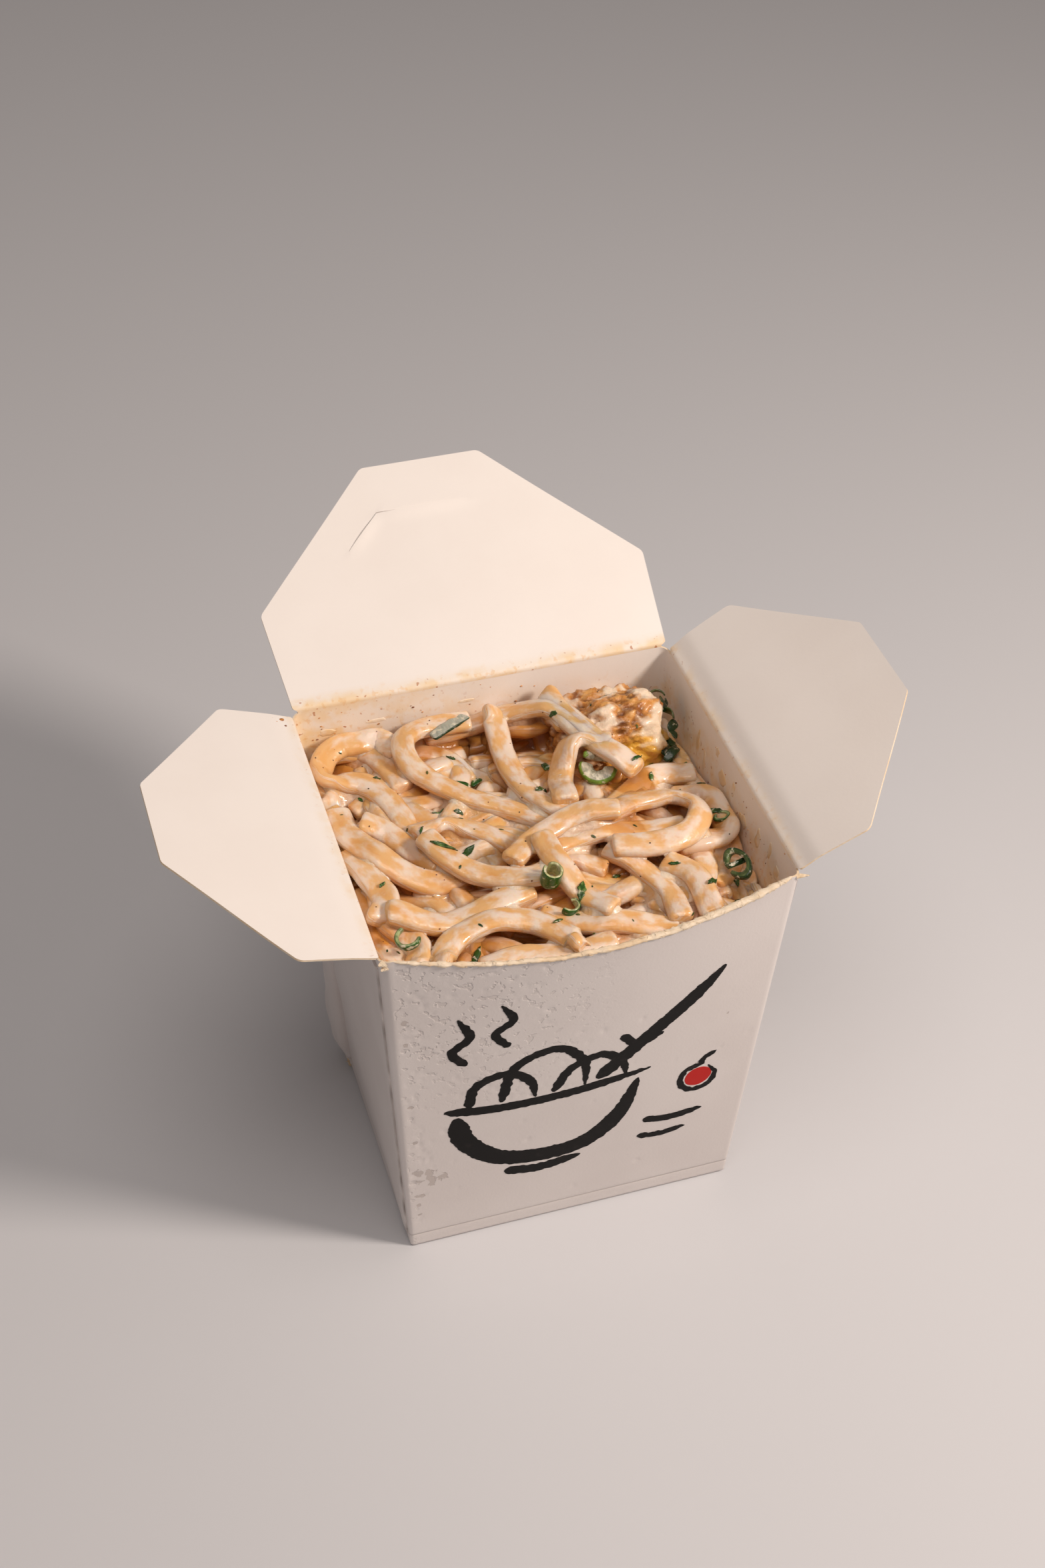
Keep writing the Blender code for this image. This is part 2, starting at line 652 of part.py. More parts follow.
def make_greens(material, pasta, others):
    for green in GREENS:
        piece = band(green["name"], green["radius"] * MM, math.radians(green["sweep"]), green["width"] * MM,
                     green["thickness"] * MM, math.radians(green["tilt"]), material)
        x, y = (c * MM for c in green["at"])
        drop_onto(piece, x, y, math.radians(green["heading"]), [tree_of(pasta)] + others)
        if green["press"]:
            piece.data.transform(Matrix.Translation((0, 0, -green["press"] * MM)))
            cut_seat(pasta, piece)


def tree_of(obj):
    """A tree for finding what touches obj."""
    faces = [tuple(p.vertices) for p in obj.data.polygons]
    return BVHTree.FromPolygons([v.co for v in obj.data.vertices], faces)


def main():
    clear_scene()
    board = make_material("white_board", (0.83, 0.79, 0.74), 0.55)
    cream = make_material("creamed_pasta", (0.86, 0.62, 0.36), 0.35)
    crust = make_material("browned_chicken", (0.55, 0.28, 0.11), 0.5)
    leaf = make_material("green_vegetable", (0.08, 0.22, 0.05), 0.4)
    carton = make_carton(board)
    make_flaps(board)
    pasta = make_pasta(cream)
    chunk = make_chunk(crust)
    make_greens(leaf, pasta, [tree_of(chunk), tree_of(carton)])


main()
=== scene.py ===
"""Looks of the takeaway pail of creamy ribbon pasta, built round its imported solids.

Metres, +Z up. The pail stands on z = 0 with its printed front towards -Y. Sizes that follow the
solids have the same names and values as there; finer ones are given beside the piece they shape.
"""
import math
import random

import bmesh
import bpy
import numpy as np
from mathutils import Matrix, Vector, noise
from mathutils.bvhtree import BVHTree


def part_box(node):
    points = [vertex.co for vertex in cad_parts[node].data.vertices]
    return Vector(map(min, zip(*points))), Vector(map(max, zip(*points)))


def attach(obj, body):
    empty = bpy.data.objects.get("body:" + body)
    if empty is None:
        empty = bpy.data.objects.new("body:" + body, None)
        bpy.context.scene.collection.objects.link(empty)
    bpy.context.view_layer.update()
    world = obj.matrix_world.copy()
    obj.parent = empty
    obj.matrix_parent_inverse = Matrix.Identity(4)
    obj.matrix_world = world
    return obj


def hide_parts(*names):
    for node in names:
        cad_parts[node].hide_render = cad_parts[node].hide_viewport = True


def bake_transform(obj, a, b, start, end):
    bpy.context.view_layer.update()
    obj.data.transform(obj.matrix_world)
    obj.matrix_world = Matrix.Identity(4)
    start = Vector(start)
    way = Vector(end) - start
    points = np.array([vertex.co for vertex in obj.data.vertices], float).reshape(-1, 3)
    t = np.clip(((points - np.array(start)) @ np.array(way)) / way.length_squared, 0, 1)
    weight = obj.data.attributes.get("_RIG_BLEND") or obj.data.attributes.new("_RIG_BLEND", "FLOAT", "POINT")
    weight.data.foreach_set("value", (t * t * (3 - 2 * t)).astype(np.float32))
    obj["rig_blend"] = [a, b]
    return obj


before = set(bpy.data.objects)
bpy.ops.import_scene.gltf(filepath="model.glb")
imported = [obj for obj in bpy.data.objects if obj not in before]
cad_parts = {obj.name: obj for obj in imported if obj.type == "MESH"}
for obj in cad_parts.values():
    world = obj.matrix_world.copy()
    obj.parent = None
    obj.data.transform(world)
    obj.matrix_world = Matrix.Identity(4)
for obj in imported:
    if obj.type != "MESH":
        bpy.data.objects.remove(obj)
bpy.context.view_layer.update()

MM = 0.001

# Carton, outside sizes as in the solids
RIM_WIDTH = 100 * MM
RIM_DEPTH = 90 * MM
BASE_WIDTH = 86 * MM
BASE_DEPTH = 73 * MM
HEIGHT = 115 * MM
BOARD = 0.5 * MM
FLOOR = 1.0 * MM
BASE_RADIUS = 1.0 * MM
RIM_RADIUS = 3.0 * MM
FRONT_BULGE = 6.0 * MM
FRONT_DIP = 5.0 * MM
SIDE_HINGE_DROP = 0.9 * MM
CREASE_GAP = 0.8 * MM

# Flap outlines as in the solids: half lengths along the hinge and distances out from it
SIDE_FLAP = {"root": 43.0 * MM, "ear": 44.3 * MM, "ear_out": 18.6 * MM, "tip": 13.6 * MM, "out": 43.4 * MM}
BACK_FLAP = {"root": 49.0 * MM, "ear": 51.0 * MM, "ear_out": 27.4 * MM, "tip": 16.0 * MM, "out": 65.8 * MM}
FLAP_CORNER = 2.6 * MM
OPEN_LEFT = math.radians(17.7)
OPEN_RIGHT = math.radians(29.8)
OPEN_BACK = math.radians(24.1)
SLIT_WIDTH = 0.35 * MM
SLIT = ((-24.5 * MM, 42.0 * MM), (-15.0 * MM, 51.8 * MM), (9.5 * MM, 51.8 * MM))

# Corner plies glued to the side walls, as in the solids
GUSSET_PLY = 0.6 * MM
GUSSET_MARGIN = 1.5 * MM
GUSSET_TOP = 5.0 * MM
GUSSET_BACK_FOOT = 0.35
GUSSET_FOOT = 3.0 * MM
LOOP_PROUD = 3.4 * MM
LOOP_WIDTH = 9.0 * MM
LOOP_FOOT = 2.5 * MM
LOOP_TOP = 75 * MM
LOOP_FADE = 86 * MM
LOOP_EDGE = 0.6

# Food
CLEARANCE = 0.35 * MM
NOODLE_WIDTH = 5.7 * MM
NOODLE_THICKNESS = 3.5 * MM
NOODLE_PRESS = 0.72
FOOD_TOP = 111.4 * MM
CORE_TOP = 101.5 * MM
RIGHT_SINK = 5.5 * MM
RIGHT_SLOPE = (26 * MM, 49 * MM)
BACK_SINK = 1.0 * MM
BACK_SLOPE = (15 * MM, 44 * MM)
LUMP = 1.0 * MM
LUMP_SIZE = 9 * MM
NOODLE_ROLL = 14
CHUNK_CENTRE = Vector((31.5, 30.5, 99.8)) * MM
CHUNK_RADII = Vector((15.8, 12.8, 10.6)) * MM
CHUNK_FLAT = 4.0 * MM
SEAT_EDGE = (1.12, 1.35)
CHUNK_CRAGS = ((1.6, 0.16), (4.1, 0.09))
SEED = 7

# Noodles on top of the heap, in the order they lie, each a route over the box in millimetres
NOODLES = (
    ((-44, 41), (-36, 41), (-30, 35), (-27, 22)),
    ((3, 40), (9, 35), (15, 36), (17, 27)),
    ((12, -19), (4, -14), (-6, -18), (-17, -23)),
    ((-46, -10), (-46, -24), (-43, -37)),
    ((-42, -10), (-43, -24), (-38, -33), (-42, -42)),
    ((46, -8), (43, -20), (35, -29)),
    ((44, 12), (45, 4), (44, -4)),
    ((34, -14), (35, -23), (31, -33), (33, -42)),
    ((-46, 2), (-44, -10), (-42, -19), (-46, -26)),
    ((-26, -42), (-17, -41), (-5, -43), (6, -42)),
    ((-17, 41), (-5, 41), (8, 38), (17, 31), (22, 18)),
    ((-25, 34), (-31, 41), (-42, 38), (-45, 30), (-36, 26), (-31, 16), (-30, 5)),
    ((-46, 17), (-44, 4), (-38, -7), (-29, -13), (-19, -11)),
    ((-41, 9), (-36, 6), (-31, -2), (-26, -9)),
    ((-5, 39), (-18, 39), (-24, 34), (-23, 25), (-14, 15), (-4, 7), (6, -2)),
    ((45, 10), (35, 11), (27, 6), (20, 1), (13, -3)),
    ((-43, -25), (-32, -28), (-21, -26), (-8, -23)),
    ((-8, -29), (2, -36), (12, -39), (21, -43)),
    ((36, 3), (44, 0), (46, -7), (44, -14), (37, -17), (30, -17)),
    ((13, -14), (19, -21), (23, -31), (22, -42)),
    ((25, -22), (30, -29), (30, -42)),
    ((-30, 2), (-21, 6), (-13, 1), (-5, -7)),
    ((-28, -1), (-24, -10), (-17, -17), (-8, -21), (1, -18)),
    ((-2, -11), (9, -9), (22, -10), (34, -12)),
    ((15, -6), (25, -1), (35, -1), (39, -8), (34, -16), (25, -18), (14, -16)),
    ((-36, -43), (-31, -35), (-21, -31), (-11, -33), (-4, -41), (-3, -46)),
    ((1, 41), (0, 27), (1, 14), (4, 5), (9, -3)),
    ((15, 40.5), (17, 29), (22, 17), (28.5, 7)),
    ((8, 1), (11, 14), (17, 20), (25, 17)),
    ((-11, -16), (-3, -9), (8, -5), (19, -7)),
    ((-2, -10), (-1, -20), (3, -29), (8, -36)),
)


# Small helpers

def mix(a, b, share):
    return a + (b - a) * share


def smooth_step(value, low, high):
    share = min(max((value - low) / (high - low), 0.0), 1.0)
    return share * share * (3 - 2 * share)


def linear(code):
    """An sRGB hex colour as linear RGBA."""
    values = [int(code[i:i + 2], 16) / 255 for i in (1, 3, 5)]
    return (*(v / 12.92 if v <= 0.04045 else ((v + 0.055) / 1.055) ** 2.4 for v in values), 1.0)


def add_node(tree, kind, inputs=None, **settings):
    """A node with its settings, and its inputs set or linked by name or number."""
    node = tree.nodes.new(kind)
    for name, value in settings.items():
        setattr(node, name, value)
    for key, value in (inputs or {}).items():
        if isinstance(value, bpy.types.NodeSocket):
            tree.links.new(value, node.inputs[key])
        else:
            node.inputs[key].default_value = value
    return node


def in_scene(name, data):
    """A new object that holds the data, in the scene."""
    obj = bpy.data.objects.new(name, data)
    bpy.context.scene.collection.objects.link(obj)
    return obj


def add_object(name, verts, faces, material=None, edges=()):
    mesh = bpy.data.meshes.new(name)
    mesh.from_pydata([tuple(v) for v in verts], edges, faces)
    if material:
        mesh.materials.append(material)
    return in_scene(name, mesh)


def add_built(bm, name, material):
    """A bmesh as an object of its own, shaded smooth."""
    mesh = bpy.data.meshes.new(name)
    bm.to_mesh(mesh)
    bm.free()
    mesh.materials.append(material)
    mesh.shade_smooth()
    return in_scene(name, mesh)


def ring_faces(gaps, count, start=0):
    """Faces that join closed rings of points, as many in each ring, over that many gaps."""
    return [(low + i, low + (i + 1) % count, low + count + (i + 1) % count, low + count + i)
            for low in range(start, start + gaps * count, count) for i in range(count)]


def mark(obj, **values):
    """Stores values on an object's points, each under its name."""
    for name, numbers in values.items():
        obj.data.attributes.new(name, "FLOAT", "POINT").data.foreach_set("value", numbers)
    return obj


def tidy_normals(obj):
    """Faces of the closed mesh turned outwards, and shaded smooth."""
    bm = bmesh.new()
    bm.from_mesh(obj.data)
    bmesh.ops.recalc_face_normals(bm, faces=bm.faces)
    bm.to_mesh(obj.data)
    bm.free()
    obj.data.shade_smooth()
    return obj


def as_mesh(obj, name):
    """The evaluated object as a plain mesh; the source goes with its modifiers."""
    depsgraph = bpy.context.evaluated_depsgraph_get()
    mesh = bpy.data.meshes.new_from_object(obj.evaluated_get(depsgraph), preserve_all_data_layers=True,
                                           depsgraph=depsgraph)
    bpy.data.objects.remove(obj)
    mesh.name = name
    return in_scene(name, mesh)


def join(objects, name):
    """One object from several."""
    bpy.ops.object.select_all(action="DESELECT")
    for obj in objects:
        obj.select_set(True)
    bpy.context.view_layer.objects.active = objects[0]
    bpy.ops.object.join()
    objects[0].name = name
    return objects[0]


def dress(obj, body, slot, *nodes):
    """Ties a finished piece to its body and hides the solids that it stands for; slot, its finish, is not
    used.
    """
    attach(obj, body)
    if nodes:
        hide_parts(*nodes)


# Materials

SCORE_HEIGHT = 5.0 * MM             # the crease that the base panel folds on


def new_material(name, **finish):
    """A material named for its finish, with its constant values set, and its node tree."""
    material = bpy.data.materials.new(name)
    material.use_nodes = True
    tree = material.node_tree
    shader = tree.nodes["Principled BSDF"]
    for key, value in finish.items():
        shader.inputs[key.replace("_", " ")].default_value = value
    return material, tree


def patches(tree, size, low, high, detail=3.0, shift=0.0, stretch=(1, 1, 1), vector=None):
    """Soft-edged patches of about that size: 0 where the grain is below low, 1 where it is above high."""
    if vector is None:
        vector = add_node(tree, "ShaderNodeTexCoord").outputs["Object"]
    place = add_node(tree, "ShaderNodeMapping", {"Vector": vector, "Location": (shift, shift, shift),
                                                 "Scale": tuple(s / size for s in stretch)})
    grain = add_node(tree, "ShaderNodeTexNoise", {"Vector": place.outputs[0], "Scale": 1.0, "Detail": detail})
    ramp = add_node(tree, "ShaderNodeMapRange",
                    {"Value": grain.outputs[0], "From Min": low, "From Max": high},
                    interpolation_type="SMOOTHSTEP")
    return ramp.outputs[0]


def layered(tree, base, *layers):
    """A colour with others laid over it, each with its mask and how far it covers there."""
    colour = linear(base)
    for mask, share, code in layers:
        cover = add_node(tree, "ShaderNodeMath", {0: mask, 1: share}, operation="MULTIPLY").outputs[0]
        over = add_node(tree, "ShaderNodeMix", {0: cover, 6: colour, 7: linear(code)}, data_type="RGBA")
        colour = over.outputs[2]
    return colour


def finished(material, colour, height=None, strength=0.0, depth=0.0):
    """The material with its colour, and the relief of a height pattern, joined to its shader."""
    tree = material.node_tree
    shader = tree.nodes["Principled BSDF"]
    tree.links.new(colour, shader.inputs["Base Color"])
    if height is not None:
        bump = add_node(tree, "ShaderNodeBump", {"Height": height, "Strength": strength, "Distance": depth})
        tree.links.new(bump.outputs[0], shader.inputs["Normal"])
    return material


def coated_board():
    """Clay-coated bleached paperboard, calendered: satin white with a faint pink-grey cast, fine
    orange peel, small greyer pits where it is dented, and patches where the coating is rubbed off to the
    duller pulp."""
    material, tree = new_material("clay_coated_paperboard", Roughness=0.46)
    cloud = patches(tree, 26 * MM, 0.35, 0.7)
    pitted = add_node(tree, "ShaderNodeAttribute", attribute_name="pitted").outputs["Fac"]
    pits = add_node(tree, "ShaderNodeMath", {0: patches(tree, 2.0 * MM, 0.575, 0.65, detail=2.0), 1: pitted},
                    operation="MULTIPLY").outputs[0]
    height = add_node(tree, "ShaderNodeSeparateXYZ",
                      {0: add_node(tree, "ShaderNodeTexCoord").outputs["Object"]}).outputs[2]
    off = add_node(tree, "ShaderNodeMath", {0: height, 1: SCORE_HEIGHT}, operation="SUBTRACT").outputs[0]
    off = add_node(tree, "ShaderNodeMath", {0: off}, operation="ABSOLUTE").outputs[0]
    score = add_node(tree, "ShaderNodeMapRange",
                     {"Value": off, "From Min": 0.4 * MM, "From Max": 0.1 * MM}).outputs[0]
    # crack: a dark line on the corner plies, real wear along their edges and painted shadow along their
    # slanting fold
    crack = add_node(tree, "ShaderNodeAttribute", attribute_name="crack").outputs["Fac"]
    wear = add_node(tree, "ShaderNodeAttribute", attribute_name="wear").outputs["Fac"]
    ragged = patches(tree, 1.4 * MM, 0.2, 0.8, detail=4.0)
    edge = add_node(tree, "ShaderNodeMath", {0: wear, 1: ragged}, operation="ADD").outputs[0]
    rubbed = add_node(tree, "ShaderNodeMapRange",
                      {"Value": edge, "From Min": 1.05, "From Max": 1.12}).outputs[0]
    colour = layered(tree, "#E6DFDC", (cloud, 0.4, "#DBD2CF"), (pits, 0.2, "#BDB1AB"),
                     (score, 0.3, "#A3968E"), (crack, 0.75, "#6E625C"), (rubbed, 0.55, "#B3A69E"))
    peel = patches(tree, 0.7 * MM, 0.2, 0.8, detail=2.0)
    sunk = add_node(tree, "ShaderNodeMath", {0: rubbed, 1: pits}, operation="ADD").outputs[0]
    sunk = add_node(tree, "ShaderNodeMath", {0: sunk, 1: score}, operation="ADD").outputs[0]
    height = add_node(tree, "ShaderNodeMath", {0: peel, 1: 0.12}, operation="MULTIPLY").outputs[0]
    height = add_node(tree, "ShaderNodeMath", {0: height, 1: sunk}, operation="SUBTRACT").outputs[0]
    return finished(material, colour, height, 0.8, 0.16 * MM)


def inside_board():
    """The uncoated inner face of the board: matt warm white with a soft felt mark, and grease that
    soaks in as yellow patches low on the walls, with a few orange spots."""
    material, tree = new_material("uncoated_inner_board", Roughness=0.6)
    grease = add_node(tree, "ShaderNodeAttribute", attribute_name="grease").outputs["Fac"]
    blotch = patches(tree, 7 * MM, 0.42, 0.62, detail=4.0)
    fine = patches(tree, 1.7 * MM, 0.56, 0.68, detail=3.0, shift=3.1)
    spots = patches(tree, 1.5 * MM, 0.70, 0.74, detail=1.0, shift=7.7)
    soaked = add_node(tree, "ShaderNodeMath", {0: grease, 1: blotch}, operation="MULTIPLY").outputs[0]
    tinted = add_node(tree, "ShaderNodeMath", {0: grease, 1: fine}, operation="MULTIPLY").outputs[0]
    spotted = add_node(tree, "ShaderNodeMath", {0: grease, 1: spots}, operation="MULTIPLY").outputs[0]
    cloud = patches(tree, 22 * MM, 0.3, 0.7, shift=1.3)
    colour = layered(tree, "#F7F1EC", (cloud, 0.35, "#F0E8E2"), (grease, 0.5, "#F4E2C8"),
                     (soaked, 0.7, "#F0CD90"), (tinted, 0.5, "#E6B36A"), (spotted, 0.9, "#B0611F"))
    felt = patches(tree, 0.9 * MM, 0.2, 0.8, detail=3.0)
    return finished(material, colour, felt, 0.3, 0.03 * MM)


def torn_pulp():
    """Bare pulp where the board is cut or torn: cream and matt, with a fibrous grain."""
    material, tree = new_material("bare_board_pulp", Roughness=0.85)
    fibre = patches(tree, 0.5 * MM, 0.3, 0.7, detail=4.0, stretch=(0.3, 1, 1))
    stain = patches(tree, 6 * MM, 0.45, 0.65, shift=2.2)
    colour = layered(tree, "#F1E2CC", (fibre, 0.5, "#DFC8A6"), (stain, 0.4, "#E6C290"))
    return finished(material, colour, fibre, 0.6, 0.08 * MM)


def printing_ink(name, code):
    """Offset ink on coated board: slightly glossier than the board, uneven where it dried thin."""
    material, tree = new_material(name, Roughness=0.55, Specular_IOR_Level=0.15)
    thin = patches(tree, 3 * MM, 0.55, 0.8, detail=4.0)
    return finished(material, layered(tree, code, (thin, 0.05, "#8A7D78")))


def strand_vector(tree):
    """Pattern coordinates that follow a noodle: along it, round it, and apart from its neighbours."""
    along, around, tone = (add_node(tree, "ShaderNodeAttribute", attribute_name=name).outputs["Fac"]
                           for name in ("along", "around", "tone"))
    apart = add_node(tree, "ShaderNodeMath", {0: tone, 1: 0.7}, operation="MULTIPLY").outputs[0]
    return add_node(tree, "ShaderNodeCombineXYZ", {0: along, 1: around, 2: apart}).outputs[0]


def sauced_noodle():
    """Boiled egg ribbon under cream sauce: soft translucent dough, wet and glossy, its orange yellow
    showing through where the white sauce has run thin, and painted shade of deeper orange lower in the heap."""
    material, tree = new_material(
        "creamed_egg_noodle", Roughness=0.34, IOR=1.42, Subsurface_Weight=0.3, Subsurface_Scale=2.2 * MM,
        Subsurface_Radius=(1.0, 0.62, 0.3), Coat_Weight=0.55, Coat_Roughness=0.09)
    vector = strand_vector(tree)
    deep = add_node(tree, "ShaderNodeAttribute", attribute_name="deep").outputs["Fac"]
    bare = patches(tree, 4.8 * MM, 0.44, 0.68, detail=2.0, stretch=(0.7, 1.3, 1), vector=vector)
    rich = patches(tree, 3.4 * MM, 0.54, 0.74, detail=1.5, stretch=(0.7, 1.3, 1), vector=vector, shift=0.5)
    thick = patches(tree, 3.7 * MM, 0.40, 0.64, detail=3.0, stretch=(0.65, 1.0, 1), vector=vector, shift=0.2)
    # the deep layer is painted shade: deeper orange where the noodle lies under the noodles on top
    colour = layered(tree, "#E9BA80", (bare, 0.5, "#E6AA5E"), (rich, 0.4, "#DE9440"),
                     (thick, 0.78, "#F1E5DA"), (deep, 0.8, "#C47C1E"))
    ripple = patches(tree, 2.2 * MM, 0.25, 0.75, detail=1.5, stretch=(0.45, 1, 1), vector=vector)
    beads = patches(tree, 1.1 * MM, 0.45, 0.75, detail=1.0, vector=vector, shift=0.8)
    height = add_node(tree, "ShaderNodeMath",
                      {0: ripple, 1: 0.4, 2: thick}, operation="MULTIPLY_ADD").outputs[0]
    height = add_node(tree, "ShaderNodeMath",
                      {0: beads, 1: 0.35, 2: height}, operation="MULTIPLY_ADD").outputs[0]
    return finished(material, colour, height, 0.45, 0.2 * MM)


def cream_sauce():
    """Cream sauce lying in the hollows: thick, white to buff with oily patches, glossy, with painted shade
    lower down.
    """
    material, tree = new_material(
        "thick_cream_sauce", Roughness=0.3, IOR=1.45, Subsurface_Weight=0.35, Subsurface_Scale=2.0 * MM,
        Subsurface_Radius=(1.0, 0.7, 0.45), Coat_Weight=0.3, Coat_Roughness=0.15)
    deep = add_node(tree, "ShaderNodeAttribute", attribute_name="deep").outputs["Fac"]
    oily = patches(tree, 6 * MM, 0.42, 0.6, detail=3.0)
    # the deep layer is painted shade: dark orange brown where the sauce lies under the noodles on top
    colour = layered(tree, "#EFDCC6", (oily, 0.8, "#E4B06C"), (deep, 0.9, "#AA6614"))
    curd = patches(tree, 1.3 * MM, 0.3, 0.75, detail=3.0)
    return finished(material, colour, curd, 0.5, 0.25 * MM)


def thin_smear():
    """Sauce wiped thinly on board: cream that has gone buff and glossy where it dries."""
    material, tree = new_material("drying_sauce_film", Roughness=0.35, Coat_Weight=0.3, Coat_Roughness=0.2)
    oily = patches(tree, 2.5 * MM, 0.4, 0.65, detail=3.0)
    colour = layered(tree, "#F3E3CD", (oily, 0.8, "#EBC892"))
    curd = patches(tree, 0.8 * MM, 0.3, 0.75, detail=3.0)
    return finished(material, colour, curd, 0.4, 0.08 * MM)


def browned_crust():
    """Pan-browned chicken with cream on it: golden to dark brown, wet, with pooled cream, painted shade
    in the grooves between its crags, and a yellow, juicy lower edge."""
    material, tree = new_material(
        "browned_chicken_crust", Roughness=0.36, IOR=1.44, Subsurface_Weight=0.12, Subsurface_Scale=1.5 * MM,
        Subsurface_Radius=(1.0, 0.5, 0.25), Coat_Weight=0.35, Coat_Roughness=0.18)
    cream, yolk, crag = (add_node(tree, "ShaderNodeAttribute", attribute_name=name).outputs["Fac"]
                         for name in ("cream", "yolk", "crag"))
    dark = patches(tree, 4.0 * MM, 0.50, 0.66, detail=5.0)
    gold = patches(tree, 2.6 * MM, 0.46, 0.62, detail=4.0, shift=4.0)
    film = patches(tree, 3.2 * MM, 0.50, 0.66, detail=4.0, shift=9.0)
    # crag marks the grooves in the crust: its dark brown there is painted shade
    colour = layered(tree, "#CE8C46", (gold, 0.75, "#E6B06A"), (dark, 0.85, "#8E4E1C"),
                     (crag, 0.85, "#5E3212"), (film, 0.5, "#EBD6BC"),
                     (yolk, 0.85, "#F0BA48"), (cream, 0.85, "#F0DFC8"))
    grit = patches(tree, 0.8 * MM, 0.25, 0.75, detail=4.0)
    return finished(material, colour, grit, 0.5, 0.2 * MM)


def cut_vegetable(name, skin, flesh, edge=(0.35, 0.6), veins="#7C8A5C", mottled=0.55):
    """Wet cut vegetable: glossy green skin and paler flesh with lengthwise veins, cream clinging to it."""
    material, tree = new_material(name, Roughness=0.3, IOR=1.42, Coat_Weight=0.4, Coat_Roughness=0.12,
                                  Subsurface_Weight=0.1, Subsurface_Scale=1.0 * MM)
    across = add_node(tree, "ShaderNodeAttribute", attribute_name="skin").outputs["Fac"]
    rind = add_node(tree, "ShaderNodeMapRange", {"Value": across, "From Min": edge[0], "From Max": edge[1]},
                    interpolation_type="SMOOTHSTEP").outputs[0]
    vein = patches(tree, 0.7 * MM, 0.4, 0.65, detail=3.0, stretch=(1, 0.25, 1))
    cream = patches(tree, 1.5 * MM, 0.58, 0.66, detail=4.0, shift=6.0)
    tone = patches(tree, 1.6 * MM, 0.42, 0.62, detail=3.0, shift=2.0)
    colour = layered(tree, flesh, (vein, 0.5, veins), (rind, 1, skin),
                     (tone, mottled, "#233613"), (cream, 0.75, "#E4DCC4"))
    return finished(material, colour, vein, 0.4, 0.12 * MM)


def dried_flake(name, dark, pale):
    """Small flakes of leaf and pepper, wet with oil."""
    material, tree = new_material(name, Roughness=0.42)
    tone = patches(tree, 2.2 * MM, 0.42, 0.6, detail=1.0)
    return finished(material, layered(tree, dark, (tone, 1, pale)))


# Carton walls

FRONT, RIGHT, BACK, LEFT = range(4)
CORNER_SIGNS = ((1, -1), (1, 1), (-1, 1), (-1, -1))     # corner that follows each side
SIDE_COLUMNS = {FRONT: 160, RIGHT: 30, BACK: 30, LEFT: 30}
CORNER_COLUMNS = 6
OUTER_ROWS = 150
RIM_ROWS = 10                       # of them, set close together under the rim
INNER_ROWS = 46
FOOT_RADIUS = 0.7 * MM
SCORE_DEPTH = 0.12 * MM
SCORE_WIDTH = 0.5 * MM
TEAR_ROUGHNESS = 0.35 * MM
DENTS = 230
DENT_DEPTH = (0.08 * MM, 0.24 * MM)
SHARP_ANGLE = math.radians(50)


def perimeter():
    """Stations round the carton from the front left corner: a side or corner, and the share along it."""
    stations = []
    for side in range(4):
        count = SIDE_COLUMNS[side]
        stations += [("side", side, i / count) for i in range(count + 1)]
        stations += [("corner", side, i / CORNER_COLUMNS) for i in range(1, CORNER_COLUMNS)]
    return stations


def bow(station):
    """How much of the front wall's bulge and dip a station has, from 0 at the corners to 1."""
    kind, side, share = station
    return math.sin(math.pi * share) if kind == "side" and side == FRONT else 0.0


def wall_point(station, z, inset):
    """A point on the wall at height z, set in by inset from the outside."""
    kind, side, share = station
    rise = z / HEIGHT
    half_x = mix(BASE_WIDTH, RIM_WIDTH, rise) / 2 - inset
    half_y = mix(BASE_DEPTH, RIM_DEPTH, rise) / 2 - inset
    radius = max(mix(BASE_RADIUS, RIM_RADIUS, rise) - inset, 0.3 * MM)
    end_x, end_y = CORNER_SIGNS[side]
    if kind == "corner":
        angle = math.radians(90) * (side - 1 + share)
        return Vector((end_x * (half_x - radius) + radius * math.cos(angle),
                       end_y * (half_y - radius) + radius * math.sin(angle), z))
    start_x, start_y = CORNER_SIGNS[side - 1]
    across = mix(start_x, end_x, share) * (half_x - radius)
    along = mix(start_y, end_y, share) * (half_y - radius)
    if side in (FRONT, BACK):
        along = half_y if side == BACK else -half_y - FRONT_BULGE * max(rise, 0) ** 1.5 * bow(station)
    else:
        across = half_x if side == RIGHT else -half_x
    return Vector((across, along, z))


def rim_height(station):
    """Where the wall ends: below the hinges, and along the ragged tear at the front."""
    kind, side, share = station
    side_top = HEIGHT - SIDE_HINGE_DROP - CREASE_GAP
    back_top = HEIGHT - CREASE_GAP
    if kind == "side" and side == FRONT:
        rough = noise.noise(Vector((share * 14, SEED, 0))) + 0.6 * noise.noise(Vector((share * 60, SEED, 3)))
        fade = min(share, 1 - share) * 20
        return back_top - FRONT_DIP * bow(station) ** 0.8 + TEAR_ROUGHNESS * rough * min(fade, 1.0)
    if kind == "side":
        return back_top if side == BACK else side_top
    ends = (back_top, side_top) if side in (FRONT, BACK) else (side_top, back_top)
    return mix(*ends, share)


def front_dents():
    """Handling dents in the front wall, most of them at its upper left and down its left edge."""
    draw = random.Random(SEED)
    dents = []
    for i in range(DENTS):
        if i % 5 < 3:
            across, up = -45 + 50 * draw.random() ** 1.5, 108 - 52 * draw.random() ** 1.2
        elif i % 5 == 3:
            across, up = -44 + 5 * draw.random(), 10 + 95 * draw.random()
        else:
            across, up = draw.uniform(-44, 46), draw.uniform(10, 108)
        long = draw.uniform(0.35, 1.3)
        dents.append((across * MM, up * MM, long * MM, long * draw.uniform(0.35, 0.8) * MM,
                      draw.uniform(0, math.pi), draw.uniform(*DENT_DEPTH)))
    return dents


